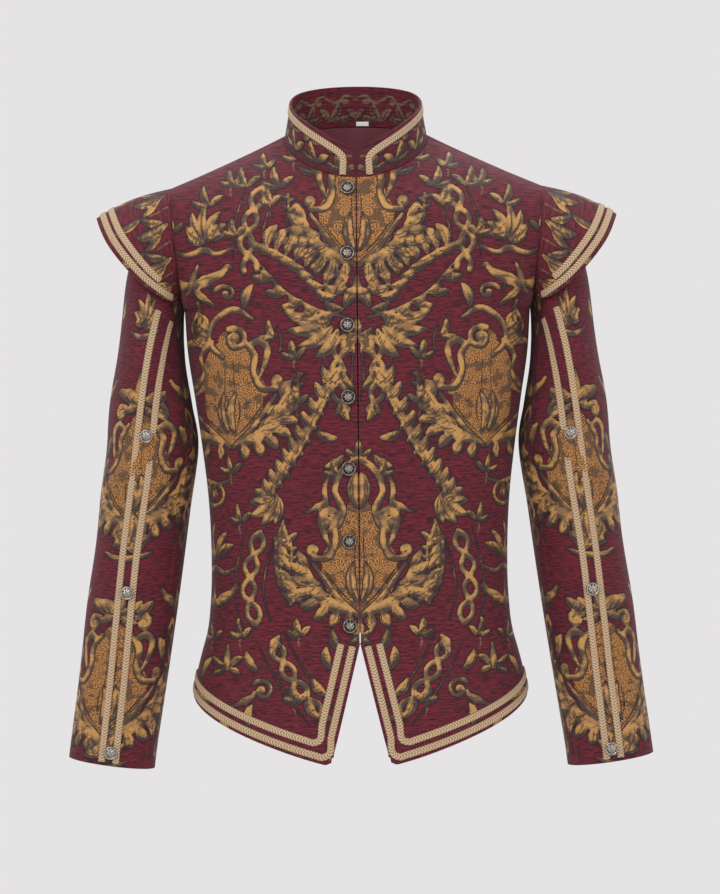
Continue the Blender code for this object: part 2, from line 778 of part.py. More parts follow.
def build():
    for thing in list(bpy.data.objects):
        bpy.data.objects.remove(thing, do_unlink=True)
    body_centre = (0, 0, -300)

    front = Cloth("front_left", half_body(-1), body_centre)
    half_back = Cloth("back", half_body(1), body_centre, joined=LOWER_ROWS + EDGE_ROWS + 1)
    back = [half_back, half_back.mirrored("back")]
    fronts = [front, front.mirrored("front_right")]
    skirts = []
    for side, place in ((-1, "front"), (1, "back")):
        panel = Cloth(f"peplum_{place}_left", half_peplum(side), body_centre)
        skirts += [panel, panel.mirrored(f"peplum_{place}_right")]
    share_directions(fronts + back + skirts)
    for piece in fronts + skirts:
        sew([piece], make_material(piece.name, BURGUNDY, 0.85))
    sew(back, make_material("back", BURGUNDY, 0.85))

    collar = Cloth("collar", collar_grid(), (0, -15, 10))
    collar.flatten_edge(0, 2)
    sew([collar], make_material("collar", BURGUNDY, 0.85))

    arm_centre = (250, 0, -300)
    outer = Cloth("sleeve_left_outer", sleeve_grid(BACK_SEAM_ANGLE - 360, FRONT_SEAM_ANGLE), arm_centre)
    under = Cloth("sleeve_left_under", sleeve_grid(FRONT_SEAM_ANGLE, BACK_SEAM_ANGLE), arm_centre)
    share_directions([outer, under])
    wing = Cloth("wing_left", wing_grid(), (215, 3, -160))
    for piece in (outer, under, wing):
        piece.flatten_edge(0, 0)
    sleeves = {
        "left": (outer, under, wing),
        "right": (
            outer.mirrored("sleeve_right_outer"),
            under.mirrored("sleeve_right_under"),
            wing.mirrored("wing_right"),
        ),
    }
    for pieces in sleeves.values():
        for piece in pieces:
            sew([piece], make_material(piece.name, BURGUNDY, 0.85))

    rose = make_material("lining", LINING_ROSE, 0.45)
    linings = []
    for half in back:
        lining = Cloth("back_lining", half.grid[LINING_WINDOW], body_centre, joined=LINING_ROWS + 1)
        lining.out = half.out[LINING_WINDOW]
        linings.append(lining)
    sew(linings, rose, lift=-(WALL + SEAM_GAP), wall=LINING_WALL)

    tab = Cloth("label", label_grid(collar), (0, -15, 10))
    sew([tab], make_material("label", TAB_WHITE, 0.7), lift=-(WALL + SEAM_GAP), wall=LABEL_THICKNESS)

    for row, distance in zip(("outer", "inner"), PEPLUM_BRAIDS):
        for panel in skirts:
            name = panel.name.replace("peplum", "peplum_braid") + "_" + row
            path = peplum_braid_path(panel, distance)
            lay_braid(name, panel, path, make_material(name, BRAID_STRAW, 0.8))
    for side, (outer, under, wing) in sleeves.items():
        for row, distance in zip(("outer", "inner"), WING_BRAIDS):
            name = f"wing_braid_{side}_{row}"
            path = wing_braid_path(wing, distance)
            lay_braid(name, wing, path, make_material(name, BRAID_STRAW, 0.8))
            name = f"sleeve_braid_{side}_{row}"
            lay_braid(name, outer, sleeve_braid_path(row), make_material(name, BRAID_STRAW, 0.8))
    straw = make_material("collar_braid", BRAID_STRAW, 0.8)
    lay_braid("collar_braid", collar, collar_braid_path(), straw)

    for k, height in enumerate(FRONT_BUTTON_HEIGHTS, 1):
        point, out = fronts[1].at(*front_button_place(fronts[1], height))
        silver = make_material(f"button_front_{k}", OLD_SILVER, 0.35, 1.0)
        add_button(f"button_front_{k}", point, out, FRONT_BUTTON_DIAMETER, 0.0, silver)
    for side, (outer, under, wing) in sleeves.items():
        for k, height in enumerate(SLEEVE_BUTTON_HEIGHTS, 1):
            middle = sum(follow(SLEEVE_BRAIDS, "height", row, height) for row in ("outer", "inner")) / 2
            point, out = outer.at(sleeve_place(height), sleeve_step(middle + SLEEVE_BUTTON_TURN))
            silver = make_material(f"button_{side}_{k}", OLD_SILVER, 0.35, 1.0)
            name = f"button_{side}_{k}"
            add_button(name, point, out, SLEEVE_BUTTON_DIAMETER, BUTTON_REST, silver)


build()
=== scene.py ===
# A figured jacket in its hollow worn form, dressed for the picture.
# The cloth is cut again at a fine grid on the solids' own lines, and carries its woven figure as
# distances to drawn curves, which the cloth's material turns into yarn colours.
# Left and right are the wearer's; millimetres until a mesh is made.

import math

import bpy
import numpy as np
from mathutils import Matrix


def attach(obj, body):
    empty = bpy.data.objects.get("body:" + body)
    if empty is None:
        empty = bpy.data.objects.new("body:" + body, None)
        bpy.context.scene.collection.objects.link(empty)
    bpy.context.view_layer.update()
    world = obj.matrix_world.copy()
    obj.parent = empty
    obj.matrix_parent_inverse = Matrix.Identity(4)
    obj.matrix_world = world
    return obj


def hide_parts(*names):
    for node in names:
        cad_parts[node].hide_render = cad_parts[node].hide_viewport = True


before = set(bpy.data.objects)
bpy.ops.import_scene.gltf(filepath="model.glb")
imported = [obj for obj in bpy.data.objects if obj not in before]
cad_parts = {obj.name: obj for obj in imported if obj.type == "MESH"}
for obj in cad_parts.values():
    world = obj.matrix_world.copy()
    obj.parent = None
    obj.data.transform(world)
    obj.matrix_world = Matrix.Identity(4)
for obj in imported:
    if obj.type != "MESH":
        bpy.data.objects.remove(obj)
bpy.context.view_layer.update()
print("frame loaded")

view = {
    "distance": 3.2,
    "height": -0.347,
    "sideways": 0.0017,
    "lens": 139.1,
    "roll": 0.5,
    "paper": (0.783, 0.768, 0.776),
    "floorHeight": -1.45,
    "floorHalf": 2.2,
    "pixel": 1.15,        # millimetres of cloth for one pixel of the picture
    "middleRow": 447,
    "middleHeight": -347,
}
figureScale = 0.9            # picture pixels for a millimetre of the body, a little more on the sleeves
sleeveScale = 0.92
noFigure = -6.0
flip = np.array([-1.0, 1.0, 1.0])
hands = (("left", np.ones(3)), ("right", flip))
trunkMiddle = np.array([0, 0, -300])
armMiddle = np.array([250, 0, -300])
shoulderMiddle = np.array([215, 3, -160])
neckMiddle = np.array([0, -15, 10])


def makeCamera():
    camera = bpy.data.cameras.new("camera")
    camera.lens = view["lens"]
    camera.sensor_width = 36
    camera.sensor_fit = "HORIZONTAL"
    thing = bpy.data.objects.new("camera", camera)
    thing.location = (view["sideways"], -view["distance"], view["height"])
    thing.rotation_euler = (math.radians(90), math.radians(view["roll"]), 0)
    bpy.context.scene.collection.objects.link(thing)
    bpy.context.scene.camera = thing


lights = {
    "key": {"at": (-1.3, -2.4, 1.5), "aim": (0, 0, -0.3), "size": 1.6, "watts": 42},
    "fill": {"at": (1.9, -2.1, 0.3), "aim": (0, 0, -0.35), "size": 1.8, "watts": 14},
    "top": {"at": (0.2, 0.5, 1.7), "aim": (0, 0, -0.2), "size": 1.4, "watts": 16},
}


def makeLights():
    for name, user in lights.items():
        lamp = bpy.data.lights.new(name, "AREA")
        lamp.shape = "DISK"
        lamp.size = user["size"]
        lamp.energy = user["watts"]
        thing = bpy.data.objects.new(name, lamp)
        thing.location = user["at"]
        aim = np.array(user["aim"]) - np.array(user["at"])
        flatLength = math.hypot(aim[0], aim[1])
        thing.rotation_euler = (math.atan2(flatLength, -aim[2]), 0, math.atan2(aim[1], aim[0]) - math.pi / 2)
        bpy.context.scene.collection.objects.link(thing)
    world = bpy.data.worlds.new("paper")
    world.use_nodes = True
    world.node_tree.nodes["Background"].inputs["Color"].default_value = (*view["paper"], 1)
    world.node_tree.nodes["Background"].inputs["Strength"].default_value = 1.0
    bpy.context.scene.world = world
    bpy.context.scene.view_settings.view_transform = "Standard"


class Wire:           # a socket that takes part in sums
    def __init__(self, paint, socket):
        self.paint = paint
        self.socket = socket

    def sum(self, operation, first, second):
        return self.paint.node("ShaderNodeMath", {"operation": operation}, {0: first, 1: second})

    def __add__(self, other):
        return self.sum("ADD", self, other)

    def __radd__(self, other):
        return self.sum("ADD", other, self)

    def __sub__(self, other):
        return self.sum("SUBTRACT", self, other)

    def __rsub__(self, other):
        return self.sum("SUBTRACT", other, self)

    def __mul__(self, other):
        return self.sum("MULTIPLY", self, other)

    def __rmul__(self, other):
        return self.sum("MULTIPLY", other, self)


def linear(red, green, blue):
    tones = [c / 255 for c in (red, green, blue)]
    return tuple(c / 12.92 if c <= 0.04045 else ((c + 0.055) / 1.055) ** 2.4 for c in tones) + (1.0,)


class Paint:          # the nodes of one material
    def __init__(self, name, roughness, metallic=0.0):
        self.material = bpy.data.materials.new(name)
        self.material.use_nodes = True
        self.tree = self.material.node_tree
        self.shader = self.tree.nodes["Principled BSDF"]
        self.fix("Roughness", roughness)
        self.fix("Metallic", metallic)

    def fix(self, socket, value):
        self.shader.inputs[socket].default_value = value

    def feed(self, socket, wire):
        self.tree.links.new(wire.socket, self.shader.inputs[socket])

    def node(self, kind, settings, values, output=0):
        made = self.tree.nodes.new(kind)
        for name, value in settings.items():
            setattr(made, name, value)
        for name, value in values.items():
            if isinstance(value, Wire):
                self.tree.links.new(value.socket, made.inputs[name])
            else:
                made.inputs[name].default_value = value
        return Wire(self, made.outputs[output])

    def attribute(self, name):
        return self.node("ShaderNodeAttribute", {"attribute_name": name}, {}, "Fac")

    def cloth(self, across, along):        # the cloth's own coordinates, stretched
        flat = self.node("ShaderNodeUVMap", {"uv_map": "cloth"}, {})
        return self.node("ShaderNodeVectorMath", {"operation": "MULTIPLY"}, {0: flat, 1: (across, along, 1)}, 0)

    def noise(self, place, scale, detail=2.0, rough=0.5):
        values = {"Vector": place, "Scale": scale, "Detail": detail, "Roughness": rough}
        return self.node("ShaderNodeTexNoise", {"noise_dimensions": "2D"}, values, "Fac")

    def wave(self, place, scale, distortion, direction):
        settings = {"wave_type": "BANDS", "bands_direction": direction, "wave_profile": "SIN"}
        values = {"Vector": place, "Scale": scale, "Distortion": distortion, "Detail": 1.0}
        return self.node("ShaderNodeTexWave", settings, values, "Fac")

    def step(self, wire, low, high):
        values = {"Value": wire, "From Min": low, "From Max": high}
        return self.node("ShaderNodeMapRange", {"interpolation_type": "SMOOTHSTEP"}, values)

    def mix(self, factor, first, second):
        return self.node("ShaderNodeMix", {"data_type": "RGBA"}, {0: factor, 6: first, 7: second}, 2)

    def bump(self, height, strength, depth):
        values = {"Height": height, "Strength": strength, "Distance": depth}
        self.feed("Normal", self.node("ShaderNodeBump", {}, values))


yarns = {
    "ground": linear(106, 28, 42),
    "groundDark": linear(50, 12, 22),
    "ink": linear(34, 22, 26),
    "gold": linear(186, 138, 76),
    "straw": linear(132, 98, 60),
    "umber": linear(70, 54, 44),
    "orange": linear(178, 128, 66),
    "vine": linear(108, 88, 66),
}


jacquardLook = {        # sizes are in cycles for each metre, across and along
    "roughness": 0.72,
    "goldRoughness": (0.82, 0.2),        # of the ground, and how much less on the gold
    "sheen": 0.06,
    "sheenRoughness": 0.5,
    "specular": 0.3,
    "streaks": (90, 1000),
    "slub": (30, 420),
    "grain": (900, 900),
    "clouds": (55, 70),
    "dots": (620, 820),
    "hatch": 190,
    "picks": 330,
    "dark": linear(86, 46, 36),
    "relief": 0.0006,
}


def makeJacquard():
    look = jacquardLook
    paint = Paint("jacquard", look["roughness"])
    paint.fix("Sheen Weight", look["sheen"])
    paint.fix("Sheen Roughness", look["sheenRoughness"])
    paint.fix("Specular IOR Level", look["specular"])
    streaks = paint.noise(paint.cloth(*look["streaks"]), 1.0, 3.0, 0.6)
    slub = paint.noise(paint.cloth(*look["slub"]), 1.0, 2.0, 0.5)
    grain = paint.noise(paint.cloth(*look["grain"]), 1.0, 1.0)
    hatch = paint.wave(paint.cloth(1, 1), look["hatch"], 6, "DIAGONAL")
    picks = paint.wave(paint.cloth(1, 1), look["picks"], 3, "Y")
    ground = paint.mix(paint.step(streaks * 0.75 + slub * 0.25, 0.38, 0.6), yarns["groundDark"], yarns["ground"])
    gold = paint.attribute("gold") + (grain - 0.5) * 1.1 + (streaks - 0.5) * 0.8
    vine = paint.attribute("vine") + (grain - 0.5) * 1.4 + (streaks - 0.5) * 1.6
    stipple = paint.attribute("stipple")
    veins = paint.attribute("ink") + (grain - 0.5) * 0.7
    colour = paint.mix(paint.step(vine, -0.3, 0.5) * paint.step(slub, 0.25, 0.55), ground, yarns["vine"])
    clouds = paint.noise(paint.cloth(*look["clouds"]), 1.0, 2.0)
    dots = paint.step(paint.noise(paint.cloth(*look["dots"]), 1.0, 1.0), 0.45, 0.55)
    field = paint.mix(dots, look["dark"], yarns["orange"])
    field = paint.mix(paint.step(clouds, 0.5, 0.62) * 0.75, field, yarns["umber"])
    colour = paint.mix(paint.step(stipple, -0.4, 0.4), colour, field)
    colour = paint.mix(paint.step(gold, -1.5, -0.8) * 0.9, colour, yarns["ink"])
    # painted shade: the gold turns umber along the lower edge of each gold shape, as if in its own shadow; clouds and
    # streaks break that shade up
    under = paint.attribute("under")        # low where the lower edge of a shape is near
    light = paint.step(under + (clouds - 0.5) * 8 + (streaks - 0.5) * 4, -0.6, 3.0)
    lit = paint.mix(paint.step(clouds, 0.36, 0.62), yarns["straw"], yarns["gold"])
    shaded = paint.mix(light, yarns["umber"], lit)
    shaded = paint.mix(paint.step(hatch * 0.5 + grain * 0.6, 0.6, 0.85) * 0.45, shaded, yarns["umber"])
    colour = paint.mix(paint.step(gold, -0.35, 0.3), colour, shaded)
    colour = paint.mix(paint.step(veins, -0.3, 0.3) * 0.8, colour, yarns["ink"])
    paint.feed("Base Color", colour)
    raised = paint.step(gold, -0.8, 0.4) * 0.6 + picks * 0.25 + grain * 0.2
    rough, less = look["goldRoughness"]
    paint.feed("Roughness", rough - paint.step(gold, -0.4, 0.4) * less)
    paint.bump(raised, 0.55, look["relief"])
    return paint.material


def makeLining():
    paint = Paint("lining", 0.5)
    paint.fix("Sheen Weight", 0.25)
    folds = paint.noise(paint.cloth(14, 5), 1.0, 2.0)
    weft = paint.wave(paint.cloth(1, 1), 700, 1, "X")
    # painted shade: the lining is darker where the folds noise is low, the same noise that bumps its fold troughs
    paint.feed("Base Color", paint.mix(folds, linear(124, 60, 70), linear(156, 86, 95)))
    paint.bump(weft * 0.3 + folds, 0.25, 0.0008)
    return paint.material


def makeBraid():
    paint = Paint("braid", 0.8)
    paint.fix("Sheen Weight", 0.2)
    left = paint.wave(paint.cloth(1, 1), 150, 1.5, "DIAGONAL")
    fuzz = paint.noise(paint.cloth(1500, 1500), 1.0, 2.0)
    worn = paint.noise(paint.cloth(60, 60), 1.0, 2.0)
    twist = paint.attribute("twist")
    # painted shade: the braid is darker where its strands dip (low twist) and along its edges, so its grooves read as
    # shaded; the worn noise below is real wear
    dark = paint.step(twist * 0.75 + left * 0.1 + fuzz * 0.25, 0.26, 0.62)
    colour = paint.mix(dark, linear(122, 92, 66), linear(196, 172, 138))
    colour = paint.mix(worn * 0.35, colour, linear(160, 128, 92))
    paint.feed("Base Color", colour)
    paint.bump(twist + fuzz * 0.3, 0.6, 0.0005)
    return paint.material


def makeSilver():
    paint = Paint("silver", 0.36, 1.0)
    high = paint.attribute("high")
    worn = paint.noise(paint.cloth(400, 400), 1.0, 3.0)
    tone = paint.step(high + (worn - 0.5) * 0.9, 0.15, 0.9)
    paint.feed("Base Color", paint.mix(tone, linear(52, 46, 44), linear(158, 150, 142)))
    paint.feed("Roughness", 0.55 - tone * 0.25)
    paint.bump(worn, 0.25, 0.0003)
    return paint.material


def makeTab():
    paint = Paint("tab", 0.7)
    weave = paint.wave(paint.cloth(1, 1), 900, 0.5, "X")
    paint.feed("Base Color", paint.mix(weave * 0.3, linear(236, 234, 232), linear(206, 202, 200)))
    paint.bump(weave, 0.2, 0.0002)
    return paint.material


body = {        # height, half width, front, back
    "sections": (
        (-190, 198, 122, 112), (-236, 195, 124, 107), (-290, 187, 121, 99), (-340, 180, 116, 92),
        (-400, 173, 111, 87), (-460, 170, 107, 86), (-520, 171, 106, 89), (-556, 175, 107, 94),
        (-582, 182, 112, 101), (-616, 190, 119, 109), (-650, 194, 124, 114), (-700, 198, 128, 118),
    ),
    "frontCentre": ((-236, 124), (-190, 122), (-150, 119), (-100, 110), (-45, 88)),
    "backCentre": ((-236, 107), (-190, 112), (-140, 115), (-90, 111), (-40, 98), (0, 79), (28, 60)),
    "squareness": 2.4,
    "depthShare": 0.62,        # of the half width
    "underarm": -190.0,
    "waist": -553.0,
    "waistPoint": 12.0,
    "waistPointWidth": 38.0,
    "shoulderSpread": 90.0,
    "shoulderRise": 110.0,
    "armholeTurn": 6,
    "fadeFrom": 0.3,
    "edgeShare": 0.4,          # the share of the upper rows that start at the centre edge
    "wall": 1.8,
    "grid": 2.0,
    "backGrid": 2.7,        # nothing finer shows there, and it keeps the piece under 200,000 triangles
    "coarse": 4,
    "slit": 0.7,
    "figureHalf": 178.0,        # the half width that the figure is unrolled from
}
neckSeam = {"half": 82, "middle": 2, "front": 90, "back": 58, "side": 8, "low": -45, "high": 28, "powers": (1.2, 0.8)}
collarTop = {
    "half": 75, "middle": -2, "front": 84, "back": 56, "side": 46, "low": -16.5, "high": 74.5, "powers": (0.48, 0.7),
    "height": 46, "figureRound": 430,
}
collarOpening = 5.5
armhole = {"x": 205.5, "lean": 7.5, "y": 3, "depth": 60, "height": -119, "half": 71}
peplum = {"sideHem": -624.5, "point": 75.0, "curve": 1.15, "slopes": (0.245, 0.27), "corner": 9.0, "cornerPower": 12}
sleeve = {
    "rings": (        # inner x, inner height, outer x, outer height, half depth, middle y
        (199.0, -187, 214.0, -52, 56, 3), (199.3, -191, 229.0, -62, 57, 3), (199.6, -196, 243.5, -81, 59, 3),
        (199.9, -203, 255.5, -111, 61, 3), (200.0, -213, 264.0, -150, 63, 3), (199.7, -228, 269.5, -196, 65, 2),
        (197.5, -256, 276.0, -240, 66, 1), (190.8, -297, 283.0, -290, 65, 0), (184.0, -345, 289.5, -333, 63, -1),
        (193.4, -415, 296.2, -401, 59, -4), (202.5, -484, 305.0, -470, 56, -8), (212.0, -552, 313.4, -538, 53, -14),
        (222.3, -621, 321.2, -607, 50, -21), (231.4, -680, 328.8, -666, 46, -28), (235.2, -710, 332.5, -696, 44, -31),
    ),
    "frontSeam": 144,
    "backSeam": 252,
    "braids": (        # height, angle of the outer braid, of the inner
        (-182, 104.0, 131.0), (-237, 91.7, 116.7), (-285, 82.5, 103.5), (-333, 76.4, 95.0), (-395, 74.5, 93.4),
        (-464, 73.9, 91.5), (-542, 76.0, 93.3), (-624, 78.5, 96.3), (-701, 80.3, 98.6),
    ),
    "buttons": (-334, -510, -686),
    "folds": 1.1,
    "grid": 2.2,
    "radius": ((60, 300, 700), (62, 57, 45)),        # depth below the origin, radius there
    "figureAngle": 88,
}
wing = {
    "edge": (        # along, angle of the root, x, front, height
        (0.00, -57, 206, 51, -180), (0.12, -38, 221, 67, -176), (0.25, -8, 253, 74, -151),
        (0.38, 38, 283, 54, -114), (0.50, 90, 299, 0, -81),
    ),
    "backEase": 3.0,
    "crown": 5.0,
    "crownWay": (0.5, 0.8),
    "braids": (9.0, 20.0),
}
wing["edge"] += tuple((1 - a, 180 - r, x, -f - wing["backEase"], h) for a, r, x, f, h in wing["edge"][-2::-1])


spans = {        # roughly how long each grid is in millimetres, which sets its number of rows
    "quarter": 292,
    "lower": 363,
    "edges": (150, 218),        # front, back, from the underarm to the neck
    "neck": 104,
    "peplum": 130,
    "collar": (46, 450),
    "sleeve": (370, 600),
    "wing": (330, 95),
}


def follow(table, column, at):        # one column of a table at any value of its first
    rows = np.array(table, float)
    keys, values = rows[:, 0], rows[:, column]
    if keys[0] > keys[-1]:
        keys, values = keys[::-1], values[::-1]
    slopes = np.gradient(values, keys)
    at = np.clip(at, keys[0], keys[-1])
    i = np.clip(np.searchsorted(keys, at, side="right") - 1, 0, len(keys) - 2)
    span = keys[i + 1] - keys[i]
    t = (at - keys[i]) / span
    low = (1 + 2 * t) * (1 - t) ** 2 * values[i] + t * (1 - t) ** 2 * span * slopes[i]
    return low + t * t * (3 - 2 * t) * values[i + 1] + t * t * (t - 1) * span * slopes[i + 1]


def quarter(share):
    power = 2 / body["squareness"]
    turn = np.radians(90 * share)
    return np.sin(turn) ** power, np.maximum(np.cos(turn), 0) ** power


def waistHeight(sideways):
    x = sideways * float(follow(body["sections"], 1, body["waist"]))
    return body["waist"] - body["waistPoint"] * np.exp(-((x / body["waistPointWidth"]) ** 2))


def reachOf(side, height):
    return follow(body["sections"], 2 if side < 0 else 3, height)


def lowerRows(side, shares, rises):
    share, rise = np.meshgrid(shares, rises)
    sideways, depth = quarter(share)
    start = waistHeight(sideways)
    height = start + (body["underarm"] - start) * rise
    return np.stack([follow(body["sections"], 1, height) * sideways, side * reachOf(side, height) * depth, height], -1)


def armholePoint(angle):
    turn = np.radians(angle)
    rise = np.sin(turn)
    a = armhole
    y = a["y"] * (1 + rise) / 2 - a["depth"] * np.cos(turn)
    return np.stack([a["x"] + a["lean"] * rise, y, a["height"] + a["half"] * rise], -1)


def neckPoint(n, angle):
    turn = np.radians(angle)
    c = np.cos(turn)
    fore, aft = np.maximum(c, 0), np.maximum(-c, 0)
    if n is neckSeam:
        rise = (n["low"] - n["side"]) * fore ** n["powers"][0]
    else:
        rise = np.where(c > 0, (n["low"] - n["side"]) * (1 - (1 - fore) ** n["powers"][0]), 0)
    z = n["side"] + rise + (n["high"] - n["side"]) * aft ** n["powers"][1]
    return np.stack([n["half"] * np.sin(turn), n["middle"] - n["front"] * fore + n["back"] * aft, z], -1)


def chestDepth(side, x, height):
    spread = 1 - np.exp(-((np.maximum(0, height - body["underarm"]) / body["shoulderRise"]) ** 2))
    half = body["sections"][0][1] + body["shoulderSpread"] * spread
    n = body["squareness"]
    table = body["frontCentre"] if side < 0 else body["backCentre"]
    return side * follow(table, 1, height) * np.maximum(0, 1 - (x / half) ** n) ** (1 / n)


def upperRows(side, shares, rises):        # rises from 0 at the underarm to 1 at the shoulder seam
    share, rise = np.meshgrid(shares, rises)
    angle = -90 + 180 * rise
    end = armholePoint(angle if side < 0 else 180 - angle)
    edge = body["edgeShare"]
    top = neckSeam["low"] if side < 0 else neckSeam["high"]
    height = body["underarm"] + (top - body["underarm"]) * np.minimum(rise / edge, 1)
    centre = np.stack([0 * height, chestDepth(side, 0.0, height), height], -1)
    turn = 90 * np.maximum(rise - edge, 0) / (1 - edge)
    neck = neckPoint(neckSeam, turn if side < 0 else 180 - turn)
    start = np.where((rise <= edge)[..., None], centre, neck)
    sideways = quarter(share)[0]
    point = start + (end - start) * sideways[..., None]
    first, last, here = (chestDepth(side, p[..., 0], p[..., 2]) for p in (start, end, point))
    rounded = here + (start[..., 1] - first) * (1 - sideways) + (end[..., 1] - last) * sideways ** body["armholeTurn"]
    fade = np.clip((rise - body["fadeFrom"]) / (1 - body["fadeFrom"]), 0, 1)
    point[..., 1] += (1 - fade * fade * (3 - 2 * fade)) * (rounded - point[..., 1])
    return point


def quarterRun():        # length along a squared quarter round, for a body of half width 1
    share = np.linspace(0, 1, 400)
    x, y = quarter(share)
    return share, np.concatenate([[0], np.cumsum(np.hypot(np.diff(x), body["depthShare"] * np.diff(y)))])


def evenShares(count):
    share, length = quarterRun()
    return np.interp(np.linspace(0, length[-1], count), length, share)


def halfBody(side, step):
    shares = evenShares(int(spans["quarter"] / step))
    lower = lowerRows(side, shares, np.linspace(0, 1, int(spans["lower"] / step)))
    edge = np.linspace(0, body["edgeShare"], int(spans["edges"][0 if side < 0 else 1] / step))[1:]
    neck = np.linspace(body["edgeShare"], 1, int(spans["neck"] / step))[1:]
    upper = upperRows(side, shares, np.concatenate([edge, neck]))
    return np.concatenate([lower, upper]), len(lower) + len(edge)


def halfPeplum(side, step):
    p = peplum
    shares, drops = evenShares(int(spans["quarter"] / step)), np.linspace(0, 1, int(spans["peplum"] / step))
    share, drop = np.meshgrid(shares, drops)
    sideways, _ = quarter(share)
    start = waistHeight(sideways)
    hem = p["sideHem"] - p["point"] * (1 - share) ** p["curve"]
    height = start + (hem - start) * drop
    half = follow(body["sections"], 1, height)
    edge = p["slopes"][0 if side < 0 else 1] * np.maximum(0, waistHeight(0.0) - height)
    fromEdge = (half - edge) * sideways
    bend = p["corner"] - np.sqrt(p["corner"] ** 2 - np.maximum(0, p["corner"] - fromEdge) ** 2)
    x, n = edge + fromEdge, body["squareness"]
    y = side * reachOf(side, height) * np.maximum(0, 1 - (x / half) ** n) ** (1 / n)
    return np.stack([x, y, height + bend * drop ** p["cornerPower"]], -1)


def collarPoints(step):
    share, along = np.meshgrid(*(np.linspace(0, 1, int(span / step)) for span in spans["collar"]))
    first = np.degrees(np.arcsin(collarOpening * share / collarTop["half"]))
    angle = first + (360 - 2 * first) * along
    low, high = neckPoint(neckSeam, angle), neckPoint(collarTop, angle)
    return np.swapaxes(low + (high - low) * share[..., None], 0, 1)


def sleevePoint(place, angle):
    rings = np.array(sleeve["rings"], float)
    cells = np.arange(len(rings))
    innerX, innerZ, outerX, outerZ, half, middle = (
        follow(np.stack([cells, rings[:, k]], -1), 1, place) for k in range(6)
    )
    turn = np.radians(angle)
    out = (1 + np.cos(turn)) / 2
    y = middle - half * np.sin(turn)
    return np.stack([innerX + (outerX - innerX) * out, y, innerZ + (outerZ - innerZ) * out], -1)


def sleevePoints(first, last, step):
    angles = np.linspace(first, last, int((last - first) / 360 * spans["sleeve"][0] / step))
    rings = np.array(sleeve["rings"], float)
    middles = -(rings[:, 1] + rings[:, 3]) / 2
    places = np.interp(np.linspace(middles[0], middles[-1], int(spans["sleeve"][1] / step)), middles, range(len(rings)))
    angle, place = np.meshgrid(angles, places)
    return sleevePoint(place, angle)


def wingPoint(along, out):
    angle, x, front, height = (follow(wing["edge"], k, along) for k in (1, 2, 3, 4))
    root = armholePoint(angle) + (0.3, 0, 0)
    tip = np.stack([x, armhole["y"] - front, height], -1)
    turn = np.radians(angle)
    way = np.stack([0 * turn + wing["crownWay"][0], -np.cos(turn), wing["crownWay"][1] * np.sin(turn)], -1)
    way /= np.linalg.norm(way, axis=-1, keepdims=True)
    crown = wing["crown"] * np.sin(math.pi * out) * np.sin(math.pi * along)
    return root + (tip - root) * out[..., None] + crown[..., None] * way


def wingPoints(step):
    return wingPoint(*np.meshgrid(*(np.linspace(0, 1, int(span / step)) for span in spans["wing"])))


def outward(points, centre):
    way = np.cross(np.gradient(points, axis=1), np.gradient(points, axis=0))
    way /= np.maximum(np.linalg.norm(way, axis=-1, keepdims=True), 1e-9)
    return -way if (way * (points - centre)).sum() < 0 else way


def runLength(points, axis):        # length along each line of the grid
    steps = np.linalg.norm(np.diff(points, axis=axis), axis=-1)
    return np.concatenate([np.zeros_like(np.take(steps, [0], axis)), np.cumsum(steps, axis=axis)], axis=axis)


# The woven figure. Places are in picture pixels: across from the centre line, and down.

